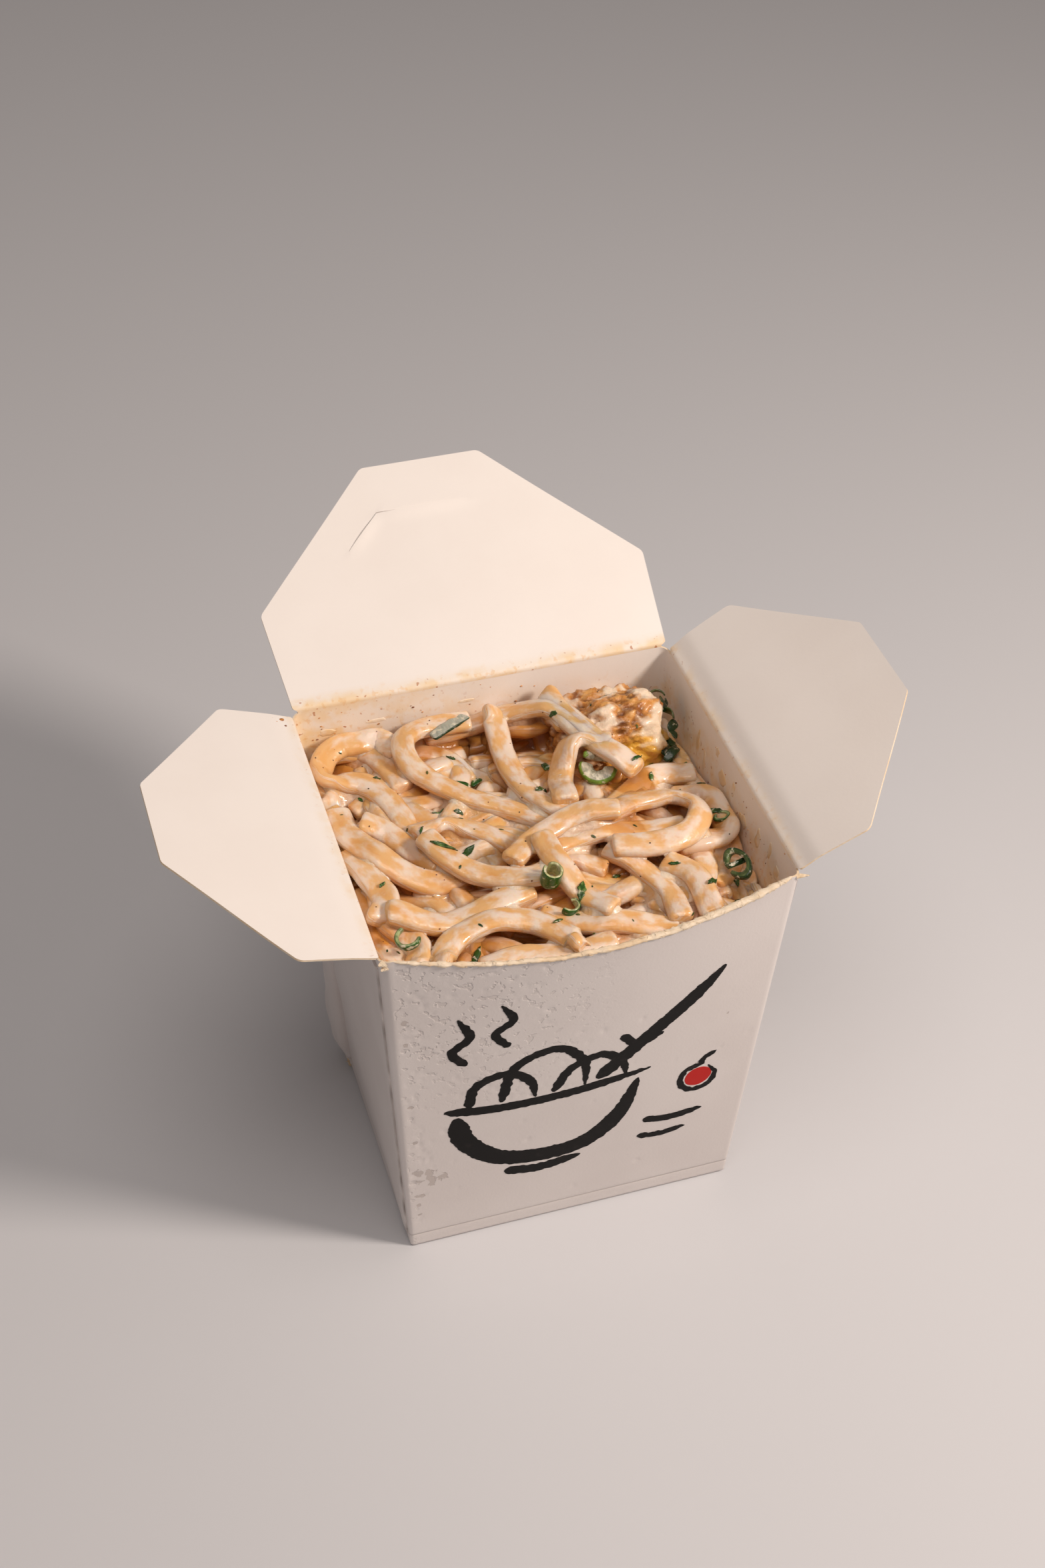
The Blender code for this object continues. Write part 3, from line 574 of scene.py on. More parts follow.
def dent_depth(x, z, dents):
    """How deep the dents are there, at points of the front wall."""
    depth = np.zeros_like(x)
    for across, up, long, wide, turn, deep in dents:
        dx, dz = x - across, z - up
        u = (dx * math.cos(turn) + dz * math.sin(turn)) / long
        v = (-dx * math.sin(turn) + dz * math.cos(turn)) / wide
        depth = np.maximum(depth, deep * np.clip(1 - u * u - v * v, 0, 1))
    return depth


def score_groove(z):
    return SCORE_DEPTH * math.exp(-((z - SCORE_HEIGHT) / SCORE_WIDTH) ** 2)


def foot_inset(z):
    """The rounded fold round the base."""
    low = max(FOOT_RADIUS - z, 0.0)
    return FOOT_RADIUS - math.sqrt(FOOT_RADIUS ** 2 - low ** 2)


# Rubbed patches of the coating: across, up and radius in millimetres
RUBBED = ((-41.2, 32, 1.3), (-38.4, 31, 1.7), (-37.5, 27.5, 1.9), (-35.2, 28.6, 1.3), (-41.0, 28, 1.0),
          (-40.6, 22, 1.2), (-40.9, 18.5, 0.8), (-40.6, 14, 0.7), (-43.0, 60, 0.7), (-42.0, 45, 0.7),
          (-44.6, 92, 0.8), (-44.2, 84, 0.7), (30, 88, 0.8), (36, 70, 0.5))


def rubbed_share(x, z):
    """How much of the coating is rubbed off at points of the front wall."""
    return np.max([np.clip(1.25 - np.hypot(x - a * MM, z - b * MM) / (r * MM) * 0.75, 0, 1)
                   for a, b, r in RUBBED], axis=0)


def grease_share(point, food_edge):
    """How greasy the inside of a wall is: most near the food, and most at the back left."""
    low = 1 - smooth_step(point.z, food_edge, food_edge + 13 * MM)
    left = 1 - smooth_step(point.x, -48 * MM, 12 * MM)
    back = smooth_step(point.y, 40 * MM, 44 * MM)
    return min(low * 0.75 + left * back * 0.75, 1.0)


def make_carton(outside, inside, pulp):
    stations = perimeter()
    count = len(stations)
    tops = [rim_height(s) for s in stations]
    verts = []
    for row in range(OUTER_ROWS + 1):
        left = OUTER_ROWS - row
        level = 1 - left * 0.0035 if left < RIM_ROWS else 0.965 * (row / (OUTER_ROWS - RIM_ROWS)) ** 1.06
        for station, top in zip(stations, tops):
            z = top * level
            verts.append(wall_point(station, z, foot_inset(z) + score_groove(z)))
    outer = np.array(verts)
    front = np.array([s[0] == "side" and s[1] == FRONT for s in stations] * (OUTER_ROWS + 1))
    dents = dent_depth(outer[front, 0], outer[front, 2], front_dents())
    outer[front, 1] += dents
    wear, pitted = np.zeros(len(outer)), np.zeros(len(outer))
    wear[front] = rubbed_share(outer[front, 0], outer[front, 2])
    left = np.clip((8 * MM - outer[front, 0]) / (30 * MM), 0, 1)
    high = np.clip((outer[front, 2] - 52 * MM) / (30 * MM), 0, 1)
    pitted[front] = np.maximum(left * high, np.clip((-40 * MM - outer[front, 0]) / (4 * MM), 0, 0.6))
    inner_verts = []
    for row in range(INNER_ROWS + 1):
        level = (row / INNER_ROWS) ** 0.45
        for station, top in zip(stations, tops):
            inner_verts.append(wall_point(station, mix(FLOOR, top, level), BOARD))
    grease = [0.0] * len(outer) + [grease_share(p, 99 * MM) for p in inner_verts]
    verts = [Vector(p) for p in outer] + inner_verts
    base = len(outer)
    top, inner_top = OUTER_ROWS * count, base + INNER_ROWS * count
    faces = ring_faces(OUTER_ROWS, count) + ring_faces(INNER_ROWS, count, base)
    faces += [(top + i, top + (i + 1) % count, inner_top + (i + 1) % count, inner_top + i)
              for i in range(count)]
    faces += [tuple(range(count)), tuple(range(base, base + count))]
    finish = [0] * (OUTER_ROWS * count) + [1] * (INNER_ROWS * count) + [2] * count + [0, 1]
    carton = add_object("paperboard_pail", verts, faces)
    for material in (outside, inside, pulp):
        carton.data.materials.append(material)
    carton.data.polygons.foreach_set("material_index", finish)
    unmarked = [0.0] * len(inner_verts)
    mark(carton, wear=list(wear) + unmarked, pitted=list(pitted) + unmarked, grease=grease)
    tidy_normals(carton)
    carton.data.set_sharp_from_angle(angle=SHARP_ANGLE)
    return carton


def side_wall_x(sign, z, proud):
    return sign * (mix(BASE_WIDTH, RIM_WIDTH, z / HEIGHT) / 2 + proud)


def back_edge_y(z):
    return mix(BASE_DEPTH, RIM_DEPTH, z / HEIGHT) / 2 - GUSSET_MARGIN - BASE_RADIUS


def make_gusset(sign, outside):
    """The corner ply folded over a side wall, from its front edge back to its slanting fold."""
    top = HEIGHT - GUSSET_TOP
    fold_end = GUSSET_BACK_FOOT * HEIGHT
    rows, columns = 60, 40
    grids, worn_edges_and_fold_shadow = [], []
    for proud in (GUSSET_PLY, -0.05 * MM):
        grid = []
        for i in range(rows + 1):
            z = mix(GUSSET_FOOT, top, i / rows)
            front = -back_edge_y(z)
            climb = (z - GUSSET_FOOT) / (fold_end - GUSSET_FOOT)
            fold = mix(-back_edge_y(GUSSET_FOOT), back_edge_y(fold_end), climb)
            back = min(fold, back_edge_y(z))
            for k in range(columns + 1):
                share = 0.5 - 0.5 * math.cos(math.pi * k / columns)
                y = mix(front, max(back, front + 0.3 * MM), share)
                edge = min(share, 1 - share) * (back - front)
                soft = 0.25 * MM * math.exp(-max(edge, 0) / (0.5 * MM))
                ripple = 0.12 * MM * noise.noise(Vector((sign * 7, y / (14 * MM), z / (20 * MM))))
                crack = 0.15 * MM * (1 - smooth_step(z, 8 * MM, 60 * MM)) * math.exp(-edge / (0.8 * MM))
                lift = proud if proud < 0 else proud - soft + ripple - crack
                grid.append(Vector((side_wall_x(sign, z, lift), y, z)))
                worn = 0.55 + 0.9 * noise.noise(Vector((z / (6 * MM), share, sign)))
                # painted shadow along the slanting fold, stored with the real wear of the ply's edges as its
                # crack mark
                fold_shadow = math.exp(-((1 - share) * (back - front) / (0.8 * MM)) ** 2)
                rubbed = min(max(worn, 0.15), 1) * math.exp(-(max(edge, 0) / (0.4 * MM)) ** 2)
                worn_edges_and_fold_shadow.append(max(rubbed, 0.5 * fold_shadow))
        grids.append(grid)
    name = "corner_ply_right" if sign > 0 else "corner_ply_left"
    return mark(sheet_between(name, grids, rows, columns, outside, outside, outside), crack=worn_edges_and_fold_shadow)


def sheet_faces(rows, columns, first=0):
    """Faces of a closed sheet between two grids of points: upper and lower by turns, then the rim."""
    row = columns + 1
    size = (rows + 1) * row
    sides = []
    for a in (first + i * row + k for i in range(rows) for k in range(columns)):
        b = size + a
        sides += [(a, a + 1, a + row + 1, a + row), (b, b + row, b + row + 1, b + 1)]
    rim = list(range(columns)) + [i * row + columns for i in range(rows)]
    rim += [rows * row + k for k in range(columns, 0, -1)] + [i * row for i in range(rows, 0, -1)]
    rim = [first + a for a in rim]
    return sides, [(a, size + a, size + b, b) for a, b in zip(rim, rim[1:] + rim[:1])]


def sheet_between(name, grids, rows, columns, over, under, edge):
    """A closed sheet between two grids of points, with a finish for each face and for its cut edge."""
    sides, rim = sheet_faces(rows, columns)
    obj = add_object(name, grids[0] + grids[1], sides + rim)
    for material in (over, under, edge):
        obj.data.materials.append(material)
    obj.data.polygons.foreach_set("material_index", [0, 1] * (rows * columns) + [2] * len(rim))
    tidy_normals(obj)
    obj.data.set_sharp_from_angle(angle=SHARP_ANGLE)
    return obj


SLOT_GAP = 2.3 * MM                 # the sprung ply's front edge stands off the wall between these heights
SLOT_LOW = 6 * MM
SLOT_HIGH = 27 * MM


def make_sprung_ply(outside, pulp):
    """The back left corner's ply, standing off the wall in a flat arch that is open at both ends."""
    rows, columns = 70, 26
    grids = []
    for skin in (BOARD, 0.0):
        grid = []
        for i in range(rows + 1):
            z = mix(LOOP_FOOT, LOOP_TOP, i / rows)
            lift = LOOP_PROUD * (1 - (z / LOOP_FADE) ** 2) * mix(0.3, 1, smooth_step(z, LOOP_FOOT, 10 * MM))
            climb = min(max((z - SLOT_LOW) / (SLOT_HIGH - SLOT_LOW), 0), 1)
            gap = SLOT_GAP * math.sin(math.pi * climb) ** 0.8
            end = back_edge_y(z) + GUSSET_MARGIN * LOOP_EDGE
            for k in range(columns + 1):
                angle = math.pi * k / columns
                y = end - LOOP_WIDTH / 2 * (1 + math.cos(angle)) - skin * math.cos(angle)
                out = (lift - BOARD + skin) * max(math.sin(angle), 0) ** 0.8 - 0.1 * MM
                out += gap * smooth_step(k, 0.55 * columns, columns)
                wave = 0.2 * MM * noise.noise(Vector((z / (9 * MM), k / 6, 2))) * math.sin(angle)
                grid.append(Vector((side_wall_x(-1, z, out + wave), y, z)))
        grids.append(grid)
    return sheet_between("sprung_ply", grids, rows, columns, outside, outside, pulp)


# Flaps

def round_corners(points, radius, steps=6):
    """Closed outline with an arc of the given radius in each corner."""
    outline = []
    for i, corner in enumerate(points):
        corner = Vector(corner)
        before = (Vector(points[i - 1]) - corner).normalized()
        after = (Vector(points[(i + 1) % len(points)]) - corner).normalized()
        half = before.angle(after) / 2
        centre = corner + (before + after).normalized() * (radius / math.sin(half))
        start = corner + before * (radius / math.tan(half)) - centre
        turn = start.angle_signed(corner + after * (radius / math.tan(half)) - centre)
        for k in range(steps + 1):
            outline.append(centre + Matrix.Rotation(-turn * k / steps, 2) @ start)
    return outline


FLAP_ROW = 0.9 * MM
FLAP_COLUMNS = 84
CREASE_BEAD = 0.34                  # how much thicker the board is at its crushed crease
CREASE_REACH = 0.75 * MM
BLEND_REACH = 0.6 * MM


def flap_rows(size):
    """Distances out along a flap and its half width at each, with its round corners followed."""
    corners = [(-size["root"], 0), (size["root"], 0), (size["ear"], size["ear_out"]),
               (size["tip"], size["out"]), (-size["tip"], size["out"]), (-size["ear"], size["ear_out"])]
    outline = [p for p in round_corners(corners, FLAP_CORNER) if p.x > 0 and p.y > FLAP_CORNER * 1.5]
    outline.sort(key=lambda p: p.y)
    heights = [0.0] + [p.y for p in outline]
    widths = [size["root"]] + [p.x for p in outline]
    count = round(size["out"] / FLAP_ROW)
    outs = sorted({round(v, 7) for v in (*np.linspace(0, size["out"], count + 1), *heights)})
    return [(out, float(np.interp(out, heights, widths))) for out in outs]


def crease_path(distance, lean, open_angle):
    """Out and up in a flap's own frame at a distance along the board from the hinge, less than 0 on
    the wall side, with the fold rounded."""
    down = Vector((-math.sin(lean + open_angle), -math.cos(lean + open_angle)))
    if distance <= -CREASE_REACH:
        return down * -distance
    if distance >= CREASE_REACH:
        return Vector((distance, 0.0))
    share = (distance + CREASE_REACH) / (2 * CREASE_REACH)
    return down * CREASE_REACH * (1 - share) ** 2 + Vector((CREASE_REACH, 0)) * share ** 2


def make_flap(name, size, place, open_angle, heading, lean, bend, soiled, materials, body, node, seed):
    """A flap of one sheet with the top of its wall: up from the wall, round the crease and out."""
    rows = [(-CREASE_GAP - 0.15 * MM, size["root"] - 1.2 * MM), (-0.55 * MM, size["root"] - 1.1 * MM),
            (-0.3 * MM, size["root"] - 0.9 * MM), (-0.1 * MM, size["root"] - 0.5 * MM)]
    rows += [(0.12 * MM, size["root"] - 0.2 * MM), (0.35 * MM, size["root"])] + flap_rows(size)[1:]
    grids = [[], []]
    for out, half in rows:
        before, after = (crease_path(out + d, lean, open_angle) for d in (-0.05 * MM, 0.05 * MM))
        tangent = (after - before).normalized()
        normal = Vector((-tangent.y, tangent.x))
        middle = crease_path(out, lean, open_angle)
        thick = BOARD * (1 + CREASE_BEAD * math.exp(-(out / CREASE_REACH) ** 2)) / 2
        for k in range(FLAP_COLUMNS + 1):
            x = half * (2 * k / FLAP_COLUMNS - 1)
            far = smooth_step(out, 2 * MM, 30 * MM)
            warp = 0.45 * MM * far * noise.noise(Vector((x / (38 * MM), out / (38 * MM), seed)))
            tent = bend * smooth_step(out, 0.5 * MM, 6.5 * MM) * (1 - smooth_step(out, 6.5 * MM, size["out"]))
            for grid, side in zip(grids, (1, -1)):
                p = middle + normal * (thick * side)
                grid.append(Vector((x, p.x, p.y + warp + tent)))
    inside, outside, pulp = materials
    flap = sheet_between(name, grids, len(rows) - 1, FLAP_COLUMNS, inside, outside, pulp)
    grease = [soiled * (1 - smooth_step(v.co.y, 0.3 * MM, 3.5 * MM)) for v in flap.data.vertices]
    mark(flap, grease=grease)
    if node == "flap_back":
        cut_lock_slit(flap)
    turn = Matrix.Rotation(heading, 4, "Z") @ Matrix.Rotation(open_angle, 4, "X")
    flap.data.transform(Matrix.Translation(place) @ turn)
    down = Vector((0, -math.sin(lean + open_angle), -math.cos(lean + open_angle)))
    across = (turn.to_3x3() @ (Vector((0, 1, 0)) - down)).normalized() * BLEND_REACH
    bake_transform(flap, "box", body, start=Vector(place) - across, end=Vector(place) + across)
    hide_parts(node)
    return flap


def cut_lock_slit(flap):
    """The bent slit in the back flap, with the tongue inside it sprung up a little along the cut."""
    a, b, c = (Vector(p) for p in SLIT)
    side_ab = (b - a).normalized().orthogonal() * SLIT_WIDTH / 2
    side_bc = (c - b).normalized().orthogonal() * SLIT_WIDTH / 2
    joint = (side_ab + side_bc) / 2
    outline = [a - side_ab * 0.2, b - joint, c - side_bc * 0.2,
               c + side_bc * 0.2, b + joint, a + side_ab * 0.2]
    verts = [Vector((p.x, p.y, z)) for z in (-3 * MM, 3 * MM) for p in outline]
    count = len(outline)
    faces = [tuple(range(count)), tuple(range(count, 2 * count))]
    faces += [(i, (i + 1) % count, count + (i + 1) % count, count + i) for i in range(count)]
    cutter = tidy_normals(add_object("slit", verts, faces))
    modifier = flap.modifiers.new("slit", "BOOLEAN")
    modifier.operation = "DIFFERENCE"
    modifier.object = cutter
    bpy.context.view_layer.objects.active = flap
    bpy.ops.object.modifier_apply(modifier=modifier.name)
    bpy.data.objects.remove(cutter)
    for vert in flap.data.vertices:
        p = vert.co.xy
        lift = 0.0
        for start, end in ((a, b), (b, c)):
            along = end - start
            share = min(max((p - start).dot(along) / along.length_squared, 0), 1)
            off = p - (start + along * share)
            inner = off.dot(Vector((along.y, -along.x)).normalized())
            near = math.exp(-(off.length / (2.2 * MM)) ** 2) * math.sin(math.pi * mix(0.08, 0.92, share))
            lift = max(lift, near * (0.55 * MM if inner > 0 else 0.0), key=abs)
        vert.co.z += lift
    flap.data.shade_smooth()
    flap.data.set_sharp_from_angle(angle=math.radians(35))


def make_flaps(inside, outside, pulp):
    side_z = HEIGHT - SIDE_HINGE_DROP
    side_x = (RIM_WIDTH - BOARD) / 2
    quarter = math.radians(90)
    side_lean = math.atan2(RIM_WIDTH - BASE_WIDTH, 2 * HEIGHT)
    back_lean = math.atan2(RIM_DEPTH - BASE_DEPTH, 2 * HEIGHT)
    materials = (inside, outside, pulp)
    make_flap("side_flap_left", SIDE_FLAP, (-side_x, 0, side_z), OPEN_LEFT, quarter, side_lean,
              0.25 * MM, 0.35, materials, "left_lid", "flap_left", 1)
    make_flap("side_flap_right", SIDE_FLAP, (side_x, 0, side_z), OPEN_RIGHT, -quarter, side_lean,
              0.7 * MM, 0.45, materials, "right_lid", "flap_right", 2)
    make_flap("back_flap", BACK_FLAP, (0, (RIM_DEPTH - BOARD) / 2, HEIGHT), OPEN_BACK, 0, back_lean,
              0.0, 0.8, materials, "back_lid", "flap_back", 3)


# Geometry node trees

def new_geometry_tree(name, inputs):
    """A geometry node tree with a geometry in and out and named number inputs."""
    tree = bpy.data.node_groups.new(name, "GeometryNodeTree")
    tree.interface.new_socket("Geometry", in_out="INPUT", socket_type="NodeSocketGeometry")
    for key, value in inputs.items():
        kind = "NodeSocketInt" if isinstance(value, int) else "NodeSocketFloat"
        tree.interface.new_socket(key, in_out="INPUT", socket_type=kind).default_value = value
    tree.interface.new_socket("Geometry", in_out="OUTPUT", socket_type="NodeSocketGeometry")
    return tree, add_node(tree, "NodeGroupInput").outputs


def run_tree(obj, tree, name, **values):
    """A geometry node tree run on an object with its inputs set by their identifiers."""
    modifier = obj.modifiers.new(tree.name, "NODES")
    modifier.node_group = tree
    for item in tree.interface.items_tree:
        key = item.name.replace(" ", "_").lower()
        if item.in_out == "INPUT" and key in values:
            modifier[item.identifier] = values[key]
    return as_mesh(obj, name)


def finish_tree(tree, geometry, material):
    """The end of every tree: instances made real, a material, and out."""
    real = add_node(tree, "GeometryNodeRealizeInstances", {0: geometry})
    painted = add_node(tree, "GeometryNodeSetMaterial", {"Geometry": real.outputs[0], "Material": material})
    add_node(tree, "NodeGroupOutput", {0: painted.outputs[0]})


def ribbon_tree(material):
    """Sweeps a soft-cornered ribbon along strands whose points carry a roll and a girth, and gives
    the surface the slow swell of dough and sauce."""
    tree, given = new_geometry_tree("sauced_ribbon", {"Width": 5.7 * MM, "Thickness": 3.5 * MM, "Sides": 16,
                                                      "Swell": 0.3 * MM, "Swell Size": 4.0 * MM})
    curve = add_node(tree, "GeometryNodeMeshToCurve", {0: given["Geometry"]})
    upright = add_node(tree, "GeometryNodeSetCurveNormal", {0: curve.outputs[0]}, mode="Z_UP")
    roll = add_node(tree, "GeometryNodeInputNamedAttribute", {0: "roll"}, data_type="FLOAT")
    rolled = add_node(tree, "GeometryNodeSetCurveTilt",
                      {"Curve": upright.outputs[0], "Tilt": roll.outputs[0]})
    circle = add_node(tree, "GeometryNodeCurvePrimitiveCircle", {"Resolution": given["Sides"], "Radius": 1.0})
    place = add_node(tree, "GeometryNodeInputPosition")
    split = add_node(tree, "ShaderNodeSeparateXYZ", {0: place.outputs[0]})
    squared = []
    for axis, size in ((0, "Width"), (1, "Thickness")):
        size_of = add_node(tree, "ShaderNodeMath", {0: split.outputs[axis]}, operation="ABSOLUTE")
        bent = add_node(tree, "ShaderNodeMath", {0: size_of.outputs[0], 1: 0.72}, operation="POWER")
        sign = add_node(tree, "ShaderNodeMath", {0: split.outputs[axis]}, operation="SIGN")
        signed = add_node(tree, "ShaderNodeMath",
                          {0: bent.outputs[0], 1: sign.outputs[0]}, operation="MULTIPLY")
        half = add_node(tree, "ShaderNodeMath", {0: given[size], 1: 0.5}, operation="MULTIPLY")
        full = add_node(tree, "ShaderNodeMath",
                        {0: signed.outputs[0], 1: half.outputs[0]}, operation="MULTIPLY")
        squared.append(full.outputs[0])
    section = add_node(tree, "ShaderNodeCombineXYZ", {0: squared[0], 1: squared[1]})
    profile = add_node(tree, "GeometryNodeSetPosition", {"Geometry": circle.outputs[0],
                                                         "Position": section.outputs[0]})
    round_it = add_node(tree, "GeometryNodeSplineParameter")
    marked = add_node(tree, "GeometryNodeStoreNamedAttribute",
                      {"Geometry": profile.outputs[0], "Name": "around", "Value": round_it.outputs["Length"]},
                      data_type="FLOAT", domain="POINT")
    girth = add_node(tree, "GeometryNodeInputNamedAttribute", {0: "girth"}, data_type="FLOAT")
    sized = add_node(tree, "GeometryNodeSetCurveRadius",
                     {"Curve": rolled.outputs[0], "Radius": girth.outputs[0]})
    swept = add_node(tree, "GeometryNodeCurveToMesh",
                     {"Curve": sized.outputs[0], "Profile Curve": marked.outputs[0], "Fill Caps": True})
    if "Scale" in swept.inputs:
        tree.links.new(girth.outputs[0], swept.inputs["Scale"])
    where = add_node(tree, "GeometryNodeInputPosition")
    scale = add_node(tree, "ShaderNodeMath", {0: 1.0, 1: given["Swell Size"]}, operation="DIVIDE")
    grain = add_node(tree, "ShaderNodeTexNoise",
                     {"Vector": where.outputs[0], "Scale": scale.outputs[0], "Detail": 2.0})
    centred = add_node(tree, "ShaderNodeMath", {0: grain.outputs[0], 1: 0.5}, operation="SUBTRACT")
    amount = add_node(tree, "ShaderNodeMath",
                      {0: centred.outputs[0], 1: given["Swell"]}, operation="MULTIPLY")
    twice = add_node(tree, "ShaderNodeMath", {0: amount.outputs[0], 1: 4.0}, operation="MULTIPLY")
    normal = add_node(tree, "GeometryNodeInputNormal")
    push = add_node(tree, "ShaderNodeVectorMath",
                    {0: normal.outputs[0], "Scale": twice.outputs[0]}, operation="SCALE")
    swollen = add_node(tree, "GeometryNodeSetPosition",
                       {"Geometry": swept.outputs[0], "Offset": push.outputs[0]})
    smooth = add_node(tree, "GeometryNodeSetShadeSmooth", {0: swollen.outputs[0]})
    finish_tree(tree, smooth.outputs[0], material)
    return tree


def scatter_tree(material, name, shape):
    """Scatters copies of a shape over the upward faces of a surface, turned and sized at random."""
    tree, given = new_geometry_tree(name, {"Density": 50000.0, "Seed": 1, "Smallest": 0.3 * MM,
                                           "Largest": 1.0 * MM, "Upward": 0.2, "Lift": 0.02 * MM})
    normal = add_node(tree, "GeometryNodeInputNormal")
    up = add_node(tree, "ShaderNodeSeparateXYZ", {0: normal.outputs[0]})
    facing = add_node(tree, "FunctionNodeCompare", {0: up.outputs[2], 1: given["Upward"]},
                      data_type="FLOAT", operation="GREATER_THAN")
    points = add_node(tree, "GeometryNodeDistributePointsOnFaces",
                      {"Mesh": given["Geometry"], "Selection": facing.outputs[0], "Density": given["Density"],
                       "Seed": given["Seed"]}, distribute_method="RANDOM")
    lift = add_node(tree, "ShaderNodeVectorMath", {0: points.outputs["Normal"], "Scale": given["Lift"]},
                    operation="SCALE")
    raised = add_node(tree, "GeometryNodeSetPosition",
                      {"Geometry": points.outputs[0], "Offset": lift.outputs[0]})
    spin = add_node(tree, "FunctionNodeRandomValue", {2: 0.0, 3: 2 * math.pi, "Seed": given["Seed"]},
                    data_type="FLOAT")
    spun = add_node(tree, "FunctionNodeAxisAngleToRotation", {"Axis": (0, 0, 1), "Angle": spin.outputs[1]})
    turned = add_node(tree, "FunctionNodeRotateRotation",
                      {0: points.outputs["Rotation"], 1: spun.outputs[0]}, rotation_space="LOCAL")
    size = add_node(tree, "FunctionNodeRandomValue",
                    {2: given["Smallest"], 3: given["Largest"], "ID": spin.outputs[1]},
                    data_type="FLOAT")
    source = add_node(tree, "GeometryNodeObjectInfo", {0: shape})
    placed = add_node(tree, "GeometryNodeInstanceOnPoints",
                      {"Points": raised.outputs[0], "Instance": source.outputs["Geometry"],
                       "Rotation": turned.outputs[0], "Scale": size.outputs[1]})
    finish_tree(tree, placed.outputs[0], material)
    return tree


def scattered(surface, shape, material, name, **values):
    """Copies of a shape scattered over a surface, as an object of their own."""
    return run_tree(in_scene("host", surface.data), scatter_tree(material, name, shape), name, **values)


# Noodles

STRAND_STEP = 0.75 * MM
SOLID_SEGMENTS = 18                 # the solids' noodles have this many, and are eased this often
SOLID_EASING = 25
END_STEPS = ((0.0, 0.62), (0.22 * MM, 0.86), (0.6 * MM, 0.97), (1.1 * MM, 1.0))
BANK = 3.2 * MM                     # a ribbon leans by this much over its turning radius, in radians
FILLERS = 150
FILLER_LENGTH = (26, 62)


def core_height(x, y):
    """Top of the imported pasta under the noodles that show."""
    level = CORE_TOP
    level -= RIGHT_SINK * smooth_step(x, *RIGHT_SLOPE)
    level -= BACK_SINK * smooth_step(y, *BACK_SLOPE)
    level += LUMP * noise.noise(Vector((x, y, 0)) / LUMP_SIZE)
    away = math.hypot((x - CHUNK_CENTRE.x) / CHUNK_RADII.x, (y - CHUNK_CENTRE.y) / CHUNK_RADII.y)
    seat = CHUNK_CENTRE.z - CHUNK_FLAT - 2 * CLEARANCE
    return mix(min(level, seat), level, smooth_step(away, *SEAT_EDGE))


def along_route(route, step):
    """Evenly spaced points on a smooth curve through a noodle's route, in metres."""
    points = [Vector(p) * MM for p in route]
    points = [points[0] * 2 - points[1]] + points + [points[-1] * 2 - points[-2]]
    dense = []
    for a, b, c, d in zip(points, points[1:], points[2:], points[3:]):
        for i in range(24):
            t = i / 24
            dense.append(0.5 * (2 * b + (c - a) * t + (2 * a - 5 * b + 4 * c - d) * t * t
                                + (3 * b - a - 3 * c + d) * t ** 3))
    dense.append(points[-2])
    dense = np.array(dense)
    lengths = np.concatenate([[0], np.cumsum(np.hypot(*np.diff(dense, axis=0).T))])
    count = max(round(lengths[-1] / step), 6)
    want = np.linspace(0, lengths[-1], count + 1)
    return np.stack([np.interp(want, lengths, dense[:, k]) for k in (0, 1)], axis=1)


def keep_inside(flat):
    """A noodle's middle line kept clear of the walls, as they stand at the height of the core's top."""
    rise = CORE_TOP / HEIGHT
    edge = BOARD + 2 * CLEARANCE + NOODLE_WIDTH / 2
    half_x = mix(BASE_WIDTH, RIM_WIDTH, rise) / 2 - edge
    half_y = mix(BASE_DEPTH, RIM_DEPTH, rise) / 2 - edge
    x = np.clip(flat[:, 0], -half_x, half_x)
    front = -half_y - FRONT_BULGE * rise ** 2 * np.cos(math.pi * flat[:, 0] / RIM_WIDTH)
    return np.stack([x, np.clip(flat[:, 1], front, half_y)], axis=1)


def chunk_support(x, y):
    """Height that a noodle's middle needs to pass over the chunk."""
    spare = NOODLE_THICKNESS / 2 + CLEARANCE + 0.8 * MM
    margin = NOODLE_WIDTH / 2 + 0.4 * MM
    away = math.hypot((x - CHUNK_CENTRE.x) / (CHUNK_RADII.x + margin),
                      (y - CHUNK_CENTRE.y) / (CHUNK_RADII.y + margin))
    return 0.0 if away >= 1 else CHUNK_CENTRE.z + (CHUNK_RADII.z + spare) * math.sqrt(1 - away * away)


def lay_noodle(route, laid):
    """Middle line of a noodle that rests on the core and on the noodles laid before it."""
    flat = keep_inside(along_route(route, STRAND_STEP))
    need = np.array([max(core_height(x, y) + NOODLE_THICKNESS * 0.3, chunk_support(x, y)) for x, y in flat])
    if len(laid):
        gaps = np.hypot(laid[None, :, 0] - flat[:, None, 0],
                        laid[None, :, 1] - flat[:, None, 1]) / NOODLE_WIDTH
        rest = laid[None, :, 2] + NOODLE_THICKNESS * NOODLE_PRESS * np.sqrt(np.clip(1 - gaps ** 2, 0, 1))
        need = np.maximum(need, np.where(gaps < 1, rest, 0).max(axis=1))
    heights = need.copy()
    for _ in range(round(SOLID_EASING * ((len(flat) - 1) / SOLID_SEGMENTS) ** 2)):
        eased = np.convolve(np.pad(heights, 1, mode="edge"), (0.25, 0.5, 0.25), mode="valid")
        heights = np.maximum(need, eased)
    for _ in range(6):
        heights = np.convolve(np.pad(heights, 1, mode="edge"), (0.25, 0.5, 0.25), mode="valid")
    heights = np.minimum(heights, FOOD_TOP - NOODLE_THICKNESS / 2)
    return np.column_stack([flat, heights])


